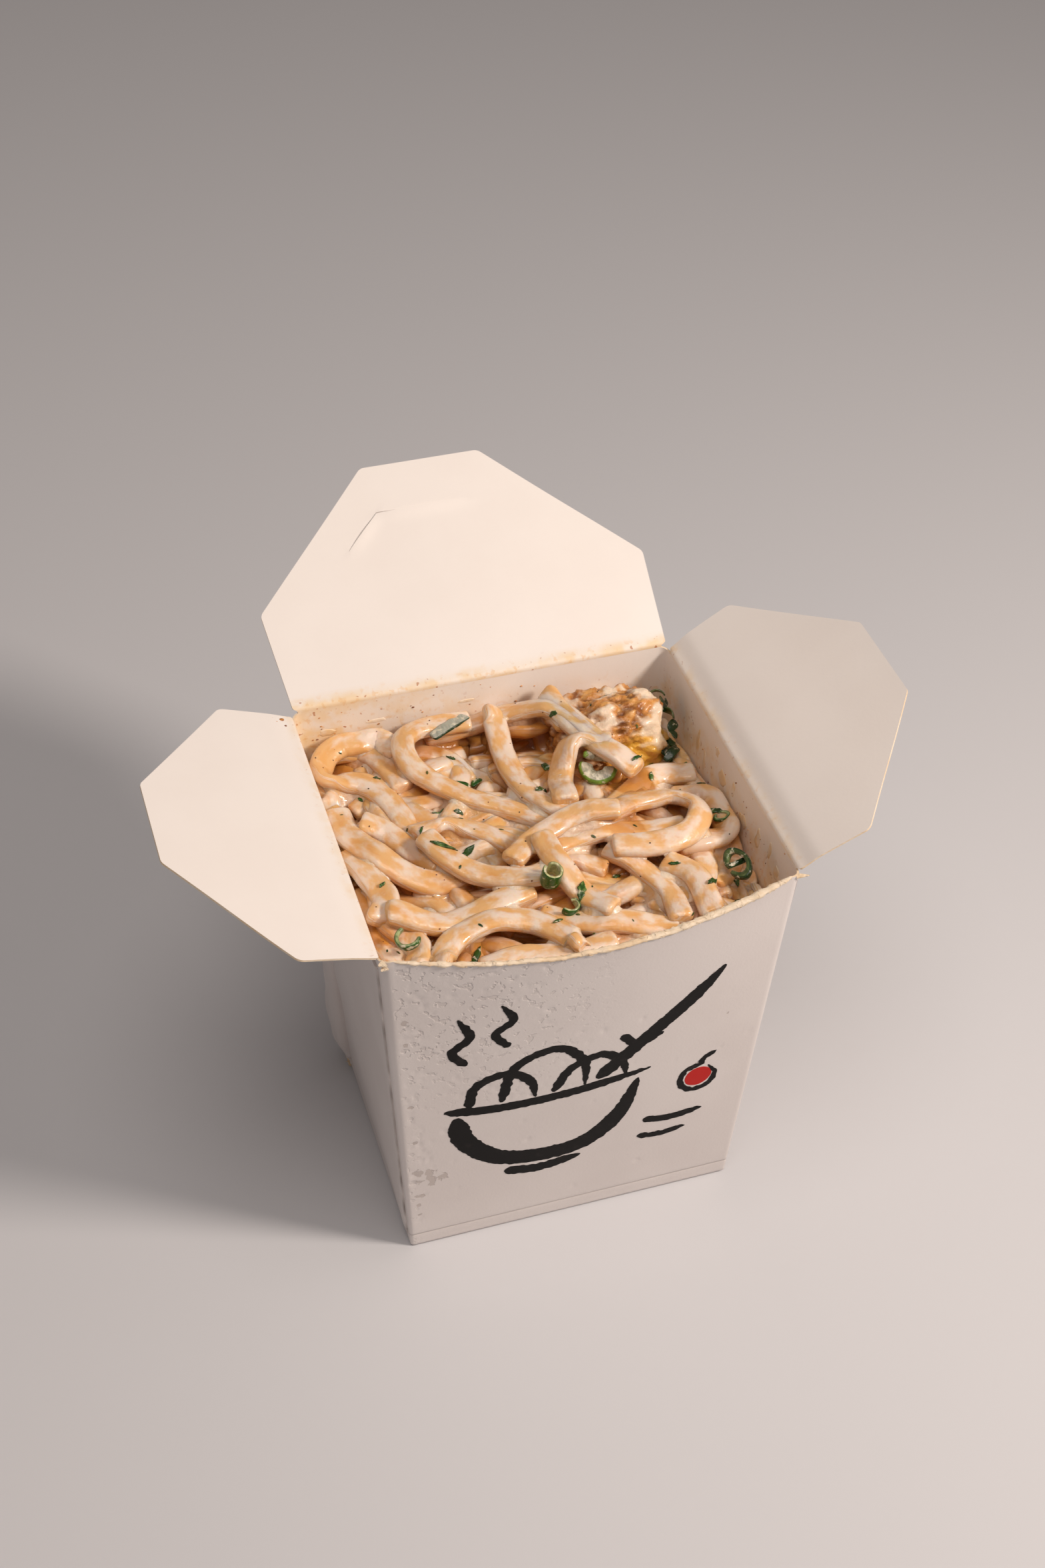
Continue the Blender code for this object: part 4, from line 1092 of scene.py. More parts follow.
def filler_line(draw):
    """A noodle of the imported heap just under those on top: a random bend, woven up and down."""
    x, y = draw.uniform(-46, 46) * MM, draw.uniform(-44, 42) * MM
    heading = draw.uniform(0, 2 * math.pi)
    curl = draw.uniform(-0.075, 0.075) / MM
    length = draw.uniform(*FILLER_LENGTH) * MM
    depth = draw.uniform(0.9, 3.6) * MM
    phase = draw.uniform(0, 2 * math.pi)
    points = []
    for i in range(round(length / (1.5 * STRAND_STEP))):
        points.append((x, y))
        x += math.cos(heading) * 1.5 * STRAND_STEP
        y += math.sin(heading) * 1.5 * STRAND_STEP
        heading += (curl + 0.05 / MM * noise.noise(Vector((i * 0.06, phase, 0)))) * 1.5 * STRAND_STEP
    flat = keep_inside(np.array(points))
    weave = [1.3 * MM * math.sin(phase + i * 0.22) for i in range(len(flat))]
    heights = [core_height(px, py) - depth + w for (px, py), w in zip(flat, weave)]
    return np.column_stack([flat, heights])


def strand_points(line, roll, lean_side):
    """A strand's points with rounded ends, and the roll and girth at each."""
    steps = np.linalg.norm(np.diff(line, axis=0), axis=1)
    lengths = np.concatenate([[0], np.cumsum(steps)])
    total = lengths[-1]
    ends = [d for d, g in END_STEPS]
    want = np.array(ends + [v for v in lengths if ends[-1] + 0.3 * MM < v < total - ends[-1] - 0.3 * MM]
                    + [total - d for d in reversed(ends)])
    points = np.stack([np.interp(want, lengths, line[:, k]) for k in range(3)], axis=1)
    girth = np.ones(len(want))
    for k, (d, g) in enumerate(END_STEPS):
        girth[k] = girth[-1 - k] = g
    heading = np.unwrap(np.arctan2(np.gradient(line[:, 1], lengths), np.gradient(line[:, 0], lengths)))
    turning = np.gradient(heading, lengths)
    turning = np.convolve(np.pad(turning, 4, mode="edge"), np.ones(9) / 9, mode="valid")
    lean = np.clip(np.interp(want, lengths, turning) * BANK, -0.75, 0.75) * lean_side
    wander = [0.16 * noise.noise(Vector((v / (14 * MM), roll * 50, 0))) for v in want]
    return points, roll + lean + np.array(wander), girth, want


def strand_object(strands, draw):
    """Strands as one object of edges, with the values that the ribbon tree reads on their points."""
    verts, edges = [], []
    values = {"roll": [], "girth": [], "along": [], "tone": []}
    for line, roll in strands:
        points, rolls, girth, along = strand_points(line, roll, draw.choice((-1, 1)))
        first = len(verts)
        verts += [tuple(p) for p in points]
        edges += [(first + i, first + i + 1) for i in range(len(points) - 1)]
        thick = draw.uniform(0.94, 1.06)
        values["roll"] += list(rolls)
        values["girth"] += list(girth * thick)
        values["along"] += list(along)
        values["tone"] += [draw.random()] * len(points)
    return mark(add_object("strands", verts, [], edges=edges), **values)


def make_noodles(material):
    """The noodles on top and, under them, the fillers that the heap is packed with."""
    draw = random.Random(SEED)
    laid = np.zeros((0, 3))
    top = []
    for route in NOODLES:
        line = lay_noodle(route, laid)
        top.append((line, math.radians(draw.uniform(-NOODLE_ROLL, NOODLE_ROLL))))
        laid = np.concatenate([laid, line])
    under = []
    for _ in range(FILLERS):
        under.append((filler_line(draw), math.radians(draw.uniform(-35, 35))))
    tree = ribbon_tree(material)
    upper = run_tree(strand_object(top, draw), tree, "noodles_on_top", width=NOODLE_WIDTH * 1.1,
                     thickness=NOODLE_THICKNESS * 1.04, sides=20, swell=0.16 * MM, swell_size=5 * MM)
    lower = run_tree(strand_object(under, draw), tree, "noodles_beneath", width=NOODLE_WIDTH * 0.95,
                     thickness=NOODLE_THICKNESS, sides=14, swell=0.2 * MM, swell_size=5 * MM)
    return upper, lower, top_field(laid)


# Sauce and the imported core

SAUCE_DEPTH = 5.0 * MM              # the sauce's own level under the core's top
SAUCE_FLOOR = 91 * MM
SAUCE_VOXEL = 0.8 * MM
SAUCE_SINK = 0.8 * MM              # the sauce's skin is drawn in by this much, and less where it pools
SAUCE_SINK_POOLED = 0.05 * MM
POOL_SIZE = 8 * MM
BLOCK_DROP = 6.5 * MM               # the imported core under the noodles, below the core's top
FIELD_CELLS = 120
FIELD_REACH = 4
FIELD_FLOOR = 90 * MM
DEEP_FROM = 2.0 * MM                # the shade between the noodles starts this far under their tops
DEEP_SPAN = 4.6 * MM


def heap_block(name, foot, drop, inset, material, rings=30):
    """A block that fills the carton from foot up to the core's surface less drop."""
    stations = [s for i, s in enumerate(perimeter()) if s[0] == "corner" or (s[1] != FRONT or i % 4 == 0)]
    count = len(stations)
    edge = [wall_point(s, core_height(*wall_point(s, CORE_TOP, inset).xy) - drop, inset) for s in stations]
    levels = (0.0, 0.25, 0.5, 0.75, 1.0)
    verts = []
    for level in levels:
        verts += [wall_point(s, mix(foot, top.z, level), inset) for s, top in zip(stations, edge)]
    for ring in range(1, rings):
        for top in edge:
            x, y = top.xy * (1 - ring / rings)
            verts.append(Vector((x, y, core_height(x, y) - drop)))
    verts.append(Vector((0, 0, core_height(0, 0) - drop)))
    faces = [tuple(reversed(range(count)))]
    rows = len(levels) + rings - 1
    faces += ring_faces(rows - 1, count)
    last = (rows - 1) * count
    faces += [(last + i, last + (i + 1) % count, len(verts) - 1) for i in range(count)]
    return tidy_normals(add_object(name, verts, faces, material))


def vectors_of(collection, name):
    values = np.empty(len(collection) * 3)
    collection.foreach_get(name, values)
    return values.reshape(-1, 3)


def draw_in(sauce):
    """Sinks the skin of the sauce along its normals, less where it pools."""
    places = vectors_of(sauce.data.vertices, "co")
    normals = vectors_of(sauce.data.vertex_normals, "vector")
    pools = np.array([smooth_step(noise.noise(Vector(p) / POOL_SIZE), -0.05, 0.45) for p in places])
    places -= normals * mix(SAUCE_SINK, SAUCE_SINK_POOLED, pools)[:, None]
    sauce.data.vertices.foreach_set("co", places.ravel())
    sauce.data.update()


def make_sauce(upper, lower, material):
    """Sauce that fills the creases: the heap fused to one skin and eased, so that it sinks under the
    noodles' backs and stands proud in the hollows between them."""
    copies = [in_scene(source.name + "_copy", source.data.copy()) for source in (upper, lower)]
    inset = BOARD + CLEARANCE
    block = heap_block("sauce_block", SAUCE_FLOOR, SAUCE_DEPTH, inset, material)
    sauce = join([block] + copies, "sauce_in_creases")
    sauce.data.materials.clear()
    fuse = sauce.modifiers.new("fuse", "REMESH")
    fuse.mode = "VOXEL"
    fuse.voxel_size = SAUCE_VOXEL
    ease = sauce.modifiers.new("ease", "SMOOTH")
    ease.factor = 0.5
    ease.iterations = 12
    sauce = as_mesh(sauce, "sauce_in_creases")
    draw_in(sauce)
    strand_values = ("along", "around", "tone", "roll", "girth")
    for name in [a.name for a in sauce.data.attributes if a.name in strand_values]:
        sauce.data.attributes.remove(sauce.data.attributes[name])
    bm = bmesh.new()
    bm.from_mesh(sauce.data)
    low = [f for f in bm.faces if f.calc_center_median().z < SAUCE_FLOOR + 1.2 * MM]
    corners = list(dict.fromkeys(v for f in low for v in f.verts))
    edges = list(dict.fromkeys(e for f in low for e in f.edges))
    bmesh.ops.dissolve_limit(bm, angle_limit=math.radians(4), verts=corners, edges=edges)
    bm.to_mesh(sauce.data)
    bm.free()
    sauce.data.materials.append(material)
    sauce.data.shade_smooth()
    return sauce


def top_field(laid):
    """Height of the noodles on top over a grid of one cell a millimetre, each noodle spread a little."""
    field = np.full((FIELD_CELLS, FIELD_CELLS), FIELD_FLOOR)
    for x, y, z in laid:
        i, k = int(x / MM + FIELD_CELLS / 2), int(y / MM + FIELD_CELLS / 2)
        patch = field[i - FIELD_REACH:i + FIELD_REACH + 1, k - FIELD_REACH:k + FIELD_REACH + 1]
        np.maximum(patch, z + NOODLE_THICKNESS / 2, out=patch)
    return field


def mark_depth(obj, field):
    """Stores how deep each point lies under the noodles about it, from 0 at the top to 1, for the materials'
    painted shade.
    """
    co = vectors_of(obj.data.vertices, "co")
    cells = np.clip((co[:, :2] / MM + len(field) / 2).astype(int), 0, len(field) - 1)
    mark(obj, deep=np.clip((field[cells[:, 0], cells[:, 1]] - co[:, 2] - DEEP_FROM) / DEEP_SPAN, 0, 1))


# Chicken and greens

CHUNK_LOOK = Vector((17.3, 13.6, 13.8)) * MM        # a little fuller than its solid, for its crust
CHUNK_MIDDLE = CHUNK_CENTRE + Vector((-1.7, 0.2, 0)) * MM
FINE_CRAGS = ((2.5, 0.13), (5.5, 0.10), (12, 0.05), (27, 0.022))


def make_chicken(material):
    """The browned chunk: the solid's form with finer crags, cream pooled on it and a yellow edge."""
    bm = bmesh.new()
    bmesh.ops.create_icosphere(bm, subdivisions=6, radius=1)
    cream, yolk, crags = [], [], []
    for vert in bm.verts:
        unit = vert.co.copy()
        crag = sum(depth * noise.noise(unit * often) for often, depth in CHUNK_CRAGS)
        boxy = max(abs(c) for c in unit) ** -0.25
        fine = sum(depth * abs(noise.noise(unit * often)) for often, depth in FINE_CRAGS)
        pool = noise.noise(unit * 2.3 + Vector((4.2, 0, 1.1))) + 0.5 * noise.noise(unit * 6)
        pool = smooth_step(pool, 0.02, 0.22) * smooth_step(unit.z, -0.2, 0.35)
        edge = smooth_step(unit.x * 0.55 - unit.y * 0.75 - unit.z * 0.35, 0.35, 0.75)
        p = unit * boxy * 0.92 * (0.93 + min(crag, 0.07) + (fine - 0.075) * (1 - 0.6 * pool) + 0.025 * pool)
        vert.co = CHUNK_MIDDLE + Matrix.Diagonal(CHUNK_LOOK) @ p
        vert.co.z = max(vert.co.z, CHUNK_CENTRE.z - CHUNK_FLAT)
        cream.append(pool)
        yolk.append(edge)
        # crag: the sunk grooves between the fine crags, where the crust paints shade
        crags.append((1 - smooth_step(fine, 0.02, 0.07)) * (1 - pool))
    return mark(add_built(bm, "browned_chunk", material), cream=cream, yolk=yolk, crag=crags)


# Vegetable pieces: the solid that each stands for, or the place over the box in millimetres where it lies,
# how much it narrows towards its ends, how many times longer than round it is, and the strips it is cut in:
# radius, sweep, width, thickness, tilt, heading and offset
GREENS = (
    {"node": "green_stalk", "skin": "stalk", "ends": 0.12, "strips": (
        (40, 17.5, 3.2, 1.2, 0, 28, (0, 0, 0)),)},
    {"node": "green_ring", "skin": "bean", "ends": 0, "strips": (
        (2.05, 345, 5.0, 1.0, 106, 20, (-1.6, -2.5, 0.8)),)},
    {"node": "green_piece", "skin": "pale", "ends": 0.3, "strips": (
        (3.1, 200, 2.2, 3.6, 118, -30, (2.0, 0.9, 0.6)), (2.4, 210, 2.4, 3.0, 130, 150, (2.6, 3.2, 3.2)))},
    {"node": "green_curl", "skin": "peel", "ends": 0.3, "strips": (
        (2.6, 245, 1.9, 1.0, 104, -50, (-2.2, -1.2, 0.5)),)},
    {"node": "green_slice", "skin": "pepper", "ends": 0, "long": 1.7, "strips": (
        (2.4, 345, 1.7, 1.2, 55, 98, (-0.4, -4.6, 0.4)), (5, 34, 1.3, 0.9, 55, 14, (-0.4, -4.2, 0.2)))},
    {"place": (-1.4, -31.4), "skin": "bean", "ends": 0.1, "strips": (
        (2.1, 200, 2.4, 0.9, 104, 35, (0, 0, 0)), (1.4, 120, 1.8, 0.7, 60, 120, (1.6, 0.8, 0.4)))},
    {"place": (-13.2, 20.5), "skin": "leaf", "strips": ((4, 90, 3.2, 0.5, 20, -15, (0, 0, 0)),)},
    {"place": (-7.7, 24.1), "skin": "bean", "strips": ((3, 70, 1.8, 0.8, 0, 35, (0, 0, 0)),)},
    {"place": (44.2, -10), "skin": "peel", "ends": 0.3, "long": 1.8, "strips": (
        (1.1, 320, 0.9, 0.5, 95, 20, (0, 0, 0)),)},
    {"place": (42, 24), "skin": "pepper", "strips": (
        (5, 80, 3.2, 0.6, 40, 80, (0, 0, 0.6)), (4, 100, 2.4, 0.6, 20, 40, (1, -3, 0.4)))},
    {"place": (44.0, 31, 105.5), "skin": "pepper", "ends": 0.8, "strips": (
        (4, 80, 3.4, 0.5, 60, 75, (0, 0.6, 0.8)), (3, 100, 2.6, 0.5, 75, 115, (0.7, -2.0, -0.6)),
        (3, 80, 2.6, 0.5, 35, 40, (0.9, -4.8, -2.2)), (2.5, 110, 2.2, 0.5, 50, 150, (-0.6, 3.4, 2.4)),
        (2.5, 90, 2.0, 0.5, 20, 100, (0.3, -7.0, -3.2)), (2, 90, 1.8, 0.5, 65, 60, (1.2, 1.8, 0.0)))},
)


def make_band(radius, sweep, width, thickness, seed, material, rind_on_edges, ends):
    """A curved strip of vegetable with soft edges and a wavy cut, its skin marked by an attribute."""
    steps, sides = 64, 24
    verts, skin = [], []
    for i in range(steps + 1):
        share = i / steps
        angle = sweep * (share - 0.5)
        fat = 1.0 - ends * abs(2 * share - 1) ** 3
        blunt = min(1.0, math.sqrt(max(1 - (abs(2 * share - 1)) ** 24, 0.04)))
        for k in range(sides):
            turn = 2 * math.pi * k / sides
            c, s = math.cos(turn), math.sin(turn)
            across = width / 2 * fat * blunt * math.copysign(abs(c) ** 0.6, c)
            deep = thickness / 2 * blunt * math.copysign(abs(s) ** 0.6, s)
            wave = noise.noise(Vector((angle * radius, across, deep)) / (2.2 * MM) + Vector((seed, 0, 0)))
            r = radius + deep + 0.18 * MM * wave
            across *= 1 + 0.12 * wave
            verts.append(Vector((r * math.sin(angle), across, r * math.cos(angle) - radius)))
            skin.append(c * c if rind_on_edges else smooth_step(s, -0.3, 0.5) - 0.4 * c ** 8)
    faces = [tuple(range(sides)), tuple(range(steps * sides, (steps + 1) * sides))] + ring_faces(steps, sides)
    return tidy_normals(mark(add_object("strip", verts, faces, material), skin=skin))


def make_greens(materials, surface):
    """The larger vegetable pieces, each set where its solid lies or on the noodle under its place."""
    for seed, green in enumerate(GREENS):
        strips = []
        for number, (radius, sweep, width, thickness, tilt, heading, offset) in enumerate(green["strips"]):
            strip = make_band(radius * MM, math.radians(sweep), width * MM, thickness * MM,
                              seed * 3.7 + number, materials[green["skin"]], green["skin"] == "stalk",
                              green.get("ends", 0.45))
            strip.data.transform(Matrix.Diagonal((green.get("long", 1), 1, 1, 1)))
            tip = Matrix.Rotation(math.radians(tilt), 4, "X")
            strip.data.transform(Matrix.Rotation(math.radians(heading), 4, "Z") @ tip)
            points = np.array([v.co for v in strip.data.vertices])
            middle = Vector((points.min(axis=0) + points.max(axis=0)) / 2)
            strip.data.transform(Matrix.Translation(Vector(offset) * MM - middle))
            strips.append(strip)
        piece = join(strips, green.get("node", "green_bit_%d" % seed) + "_cut")
        if "node" in green:
            low, high = (Vector(c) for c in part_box(green["node"]))
            place = (low + high) / 2
        else:
            place = Vector((*green["place"], HEIGHT / MM)[:3]) * MM
            if len(green["place"]) == 2:
                tall = max(v.co.z for v in piece.data.vertices)
                place = surface.ray_cast(place, Vector((0, 0, -1)))[0] + Vector((0, 0, tall * 0.6))
        piece.data.transform(Matrix.Translation(place))
        dress(piece, "box", "greens", *([green["node"]] if "node" in green else []))


# Leaf shreds: over the box in millimetres, heading in degrees, length and width in millimetres
SHREDS = (
    (-21, 12, 20, 3.6, 0.9), (-16.5, 9.7, -30, 2.6, 0.9), (-12.3, 31.6, -40, 2.6, 1.0),
    (9.8, 20, -35, 4.2, 1.4), (-18.2, -3.7, 40, 5.5, 1.6), (-28.1, 1.2, 60, 2.4, 0.6),
    (-24.8, -6.9, -35, 7.0, 1.0), (-32.7, 25.9, 10, 2.2, 0.8), (4.1, 9.7, 30, 3.4, 1.5),
    (32.9, 8.8, 75, 3.0, 1.2), (28.9, 9.2, 25, 3.4, 0.8), (13.7, -20.5, 35, 3.2, 1.4),
    (43.5, -7.5, -25, 4.5, 1.5), (37.1, 2.2, 20, 3.0, 0.7), (44, 3, 10, 2.6, 1.0),
    (2.0, -29, 65, 5.0, 1.8), (-25.9, -36.9, 60, 7.5, 1.6), (-29.8, -42, -10, 6.0, 1.0),
    (-27, -40.5, 25, 4.5, 0.8), (32.6, -33.6, 25, 3.6, 1.2), (26.4, -25, -20, 3.0, 0.8),
    (37, 20.5, 50, 3.6, 1.4), (43, 22, 80, 5.0, 2.0), (45, 27, 100, 5.5, 2.2),
    (44.5, 15, 60, 4.0, 1.6), (41.5, -27, 80, 4.5, 1.6), (38, -37, 50, 4.0, 1.4),
    (-42, -16, 40, 2.2, 0.8), (-38, 22, -60, 1.8, 0.7), (19.5, 4.5, 60, 2.4, 0.9),
    (-6, -36, 20, 3.0, 0.8), (14, 30, -20, 2.4, 0.8),
)


def make_shreds(surface, material):
    """Small shreds of leaf lying on whatever noodle is uppermost, cupped and pointed."""
    steps, across_steps = 12, 4
    verts, faces, skin = [], [], []
    for seed, (x, y, heading, length, width) in enumerate(SHREDS):
        hit, normal, _, _ = surface.ray_cast(Vector((x * MM, y * MM, HEIGHT)), Vector((0, 0, -1)))
        if hit is None:
            continue
        ahead = Matrix.Rotation(math.radians(heading), 3, "Z") @ Vector((1, 0, 0))
        side = normal.cross(ahead).normalized()
        ahead = side.cross(normal)
        for skin_side in (1, -1):
            for i in range(steps + 1):
                along = (i / steps - 0.5) * length * MM
                wide = width * MM / 2 * max(1 - abs(2 * i / steps - 1) ** 2.6, 0.06)
                wide *= 1 + 0.5 * noise.noise(Vector((i * 0.5, seed, 8)))
                for k in range(across_steps + 1):
                    over = (2 * k / across_steps - 1) * wide
                    p = hit + ahead * along + side * over
                    down, face, _, _ = surface.ray_cast(p + Vector((0, 0, 12 * MM)), Vector((0, 0, -1)))
                    drop = down.z if down is not None and abs(down.z - hit.z) < 1.2 * MM else p.z - 0.4 * MM
                    height = max(mix(p.z, drop, 0.75), drop + 0.12 * MM)
                    curl = 0.3 * MM * noise.noise(Vector((i * 0.25, k * 0.4, seed)))
                    verts.append(Vector((p.x, p.y, height + 0.16 * MM * skin_side + curl + 0.1 * MM)))
                    green = 0.45 + 0.5 * noise.noise(Vector((i * 0.3, k, seed * 3.3)))
                    skin.append(green + 0.3 * (seed % 3 != 0))
        sides, rim = sheet_faces(steps, across_steps, len(verts) - 2 * (steps + 1) * (across_steps + 1))
        faces += sides + rim
    return tidy_normals(mark(add_object("leaf_shreds", verts, faces, material), skin=skin))


def flake_shape(name, long, wide, thick):
    """A little angular flake that the scatter trees copy."""
    bm = bmesh.new()
    bmesh.ops.create_icosphere(bm, subdivisions=1, radius=0.5)
    for vert in bm.verts:
        vert.co = Vector((vert.co.x * long, vert.co.y * wide, vert.co.z * thick))
        vert.co += Vector([noise.noise(vert.co * 3 + Vector((7.3 * k, 1.9, 4.1))) for k in range(3)]) * 0.1
    mesh = bpy.data.meshes.new(name)
    bm.to_mesh(mesh)
    bm.free()
    return bpy.data.objects.new(name, mesh)


def make_specks(surfaces, leaf, pepper):
    """Dried herb and pepper specks over the noodles and the sauce."""
    kinds = (("herb_specks", leaf, flake_shape("leaf_flake", 1.7, 0.8, 0.25), 3200.0, 0.25, 0.95, 11),
             ("pepper_specks", pepper, flake_shape("pepper_flake", 1.0, 0.8, 0.5), 7000.0, 0.15, 0.5, 12))
    for name, material, shape, density, small, large, seed in kinds:
        pieces = []
        for number, surface in enumerate(surfaces):
            pieces.append(scattered(surface, shape, material, name, density=density, seed=seed + number,
                                    smallest=small * MM, largest=large * MM, upward=0.25, lift=0.05 * MM))
        specks = join(pieces, name)
        specks.data.shade_flat()
        dress(specks, "box", "greens")


# Print on the front

INK_PROUD = 0.05 * MM
INK_STEP = 0.6 * MM
# A bowl of noodles and a fork in brush strokes: points across and up in millimetres, and a width
STROKES = (
    (((-35, 55), (-22, 53.2), (-4, 53.6), (17, 56.2)), 3.2),
    (((-32, 52), (-29.5, 41.5), (-21, 32), (-9, 28.8), (2, 30.6), (10, 39.5), (14, 53)), 5.6),
    (((-19, 25.0), (-10, 23.2), (1, 24.8)), 3.4),
    (((-29, 55), (-27.5, 63.5), (-20, 67), (-14, 62), (-12.5, 55)), 2.7),
    (((-21, 55.5), (-18, 69), (-8, 73.5), (-1, 66), (0, 55.5)), 2.7),
    (((-8, 55.5), (-4, 64), (3.5, 67), (9, 62), (10.5, 56)), 2.7),
    (((3, 57), (15, 70), (26, 81.5), (33, 90)), 4.4),
    (((8, 73), (12.5, 68), (19, 70)), 2.5),
    (((-30, 73), (-33.5, 78.5), (-29.5, 84), (-32.5, 91)), 2.4),
    (((-20, 78), (-23.5, 83.5), (-19.5, 88.5), (-22.5, 94.5)), 2.2),
    (((31.2, 51.6), (26.8, 50.2), (25.8, 45.6), (28.6, 41.8), (33.2, 42.2), (35.0, 46.4), (32.8, 50.4)), 1.7),
    (((30.6, 51.0), (31.6, 54.0), (34.6, 55.6)), 1.7),
    (((17, 33.5), (24, 31.8), (33, 32.6)), 2.5),
    (((16, 26.6), (22, 25.4), (29, 26.2)), 2.1),
)
DISC_CENTRE = (30.5, 46.6)
DISC_RADIUS = 3.6


def on_front(x, z, out):
    """A point on the printed front wall, across x and up z, standing off it by out."""
    rise = z / HEIGHT
    half_x = mix(BASE_WIDTH, RIM_WIDTH, rise) / 2
    radius = mix(BASE_RADIUS, RIM_RADIUS, rise)
    share = (x / (half_x - radius) + 1) / 2
    return wall_point(("side", FRONT, share), z, -out)


def ink_object(name, outlines, material):
    """Flat shapes of ink laid on the front wall as thin solids."""
    verts, faces = [], []
    for points, quads in outlines:
        first = len(verts)
        verts += points
        faces += [tuple(first + i for i in quad) for quad in quads]
    ink = add_object(name, verts, faces, material)
    bm = bmesh.new()
    bm.from_mesh(ink.data)
    for face in bm.faces:
        if face.normal.y > 0:
            face.normal_flip()
    bm.to_mesh(ink.data)
    bm.free()
    depth = ink.modifiers.new("ink_film", "SOLIDIFY")
    depth.thickness = 2 * INK_PROUD
    depth.offset = -1
    return as_mesh(ink, name)


def brush_stroke(route, width, number):
    """One brush stroke: fat in the middle with a ragged edge, blunt at its start and thin at its end."""
    flat = along_route(route, INK_STEP)
    points, quads = [], []
    count = len(flat)
    for i, (x, z) in enumerate(flat):
        ahead = flat[min(i + 1, count - 1)] - flat[max(i - 1, 0)]
        side = Vector((-ahead[1], ahead[0])).normalized()
        share = i / (count - 1)
        body = min(math.sqrt(share * 14 + 0.05), 1.0) * min((1 - share) ** 0.55 * 2.0 + 0.08, 1.0)
        for k, edge in enumerate((-1, -0.33, 0.33, 1)):
            rough = 0.42 * MM * noise.noise(Vector((share * len(flat) * 0.45, k, number))) * abs(edge)
            reach = edge * width * MM / 2 * body + rough
            points.append(on_front(x + side.x * reach, z + side.y * reach, INK_PROUD + number * 0.002 * MM))
        if i:
            quads += [(4 * i - 4 + k, 4 * i + k, 4 * i + k + 1, 4 * i - 3 + k) for k in range(3)]
    return points, quads


def ink_disc(centre, radius, rings=5, spokes=40):
    x, z = centre[0] * MM, centre[1] * MM
    points = [on_front(x, z, INK_PROUD)]
    quads = [(0, 1 + (k + 1) % spokes, 1 + k) for k in range(spokes)]
    for ring in range(1, rings + 1):
        for k in range(spokes):
            angle = 2 * math.pi * k / spokes
            rough = 1 + 0.05 * noise.noise(Vector((math.cos(angle), math.sin(angle), 3)) * 1.7)
            reach = radius * MM * ring / rings * rough
            points.append(on_front(x + reach * math.cos(angle), z + reach * math.sin(angle), INK_PROUD))
    return points, quads + ring_faces(rings - 1, spokes, 1)


def make_print(black, red):
    strokes = [brush_stroke(route, width, number) for number, (route, width) in enumerate(STROKES)]
    dress(ink_object("printed_bowl_and_fork", strokes, black), "box", "board")
    dress(ink_object("printed_dot", [ink_disc(DISC_CENTRE, DISC_RADIUS)], red), "box", "board")


# Torn edge and crumbs

# Split tags at the ends of the tear: root, direction, length and width, in millimetres
TAGS = (
    ((48.6, -44.2, 113.6), (1, -0.35, 0.12), 3.0, 1.5), ((-48.6, -44.4, 113.7), (-1, -0.3, 0.05), 1.7, 2.2),
    ((-48.4, -44.8, 112.9), (-1, -0.5, -0.2), 1.6, 1.8),
)


def make_torn_edge(pulp):
    """The fluffed, split pulp along the tear, with loose fibres and a split tag at each corner."""
    top = [s for s in perimeter() if s[0] == "side" and s[1] == FRONT]
    verts, edges = [], []
    values = {"roll": [], "girth": [], "along": [], "tone": []}
    for i, station in enumerate(top):
        share = station[2]
        p = wall_point(station, rim_height(station), BOARD / 2)
        fat = 0.95 + 0.45 * smooth_step(share, 0.3, 0.9) + 0.55 * noise.noise(Vector((share * 40, 0, 5)))
        verts.append(p + Vector((0, 0.06 * MM * noise.noise(Vector((share * 50, 2, 1))), -0.12 * MM)))
        values["roll"].append(0.4 * noise.noise(Vector((share * 12, 0, 9))))
        values["girth"].append(max(fat, 0.5) * min(1.0, 0.4 + 12 * min(share, 1 - share)))
        values["along"].append(share * RIM_WIDTH)
        values["tone"].append(0.5)
        if i:
            edges.append((i - 1, i))
    line = mark(add_object("tear_line", verts, [], edges=edges), **values)
    edge = run_tree(line, ribbon_tree(pulp), "torn_edge", width=1.25 * MM, thickness=0.85 * MM, sides=12,
                    swell=0.2 * MM, swell_size=0.8 * MM)
    tags = [torn_tag(Vector(root) * MM, Vector(ahead), length * MM, width * MM, pulp)
            for root, ahead, length, width in TAGS]
    fibres = scattered(edge, flake_shape("fibre", 1.0, 0.06, 0.06), pulp, "loose_fibres", density=7e5, seed=5,
                       smallest=0.5 * MM, largest=1.5 * MM, upward=-2.0, lift=0.05 * MM)
    return join([edge, fibres] + tags, "torn_edge")


def torn_tag(root, direction, length, width, material):
    """A split end of board: a thin ragged tongue that narrows to a point."""
    ahead = direction.normalized()
    side = ahead.cross(Vector((0, 0, 1))).normalized()
    up = side.cross(ahead)
    rows, columns = 14, 6
    grids = []
    for skin in (1, -1):
        grid = []
        for i in range(rows + 1):
            share = i / rows
            half = width / 2 * (1 - share) ** 0.7 + 0.03 * MM
            for k in range(columns + 1):
                over = (2 * k / columns - 1) * half
                ragged = 0.15 * MM * noise.noise(Vector((i * 0.7, k * 0.9, length * 900)))
                p = root + ahead * (share * length) + side * (over + ragged)
                grid.append(p + up * (0.17 * MM * skin * (1 - 0.6 * share) + ragged * 0.8))
        grids.append(grid)
    tag = sheet_between("tag", grids, rows, columns, material, material, material)
    tag.data.materials.clear()
    tag.data.materials.append(material)
    return tag


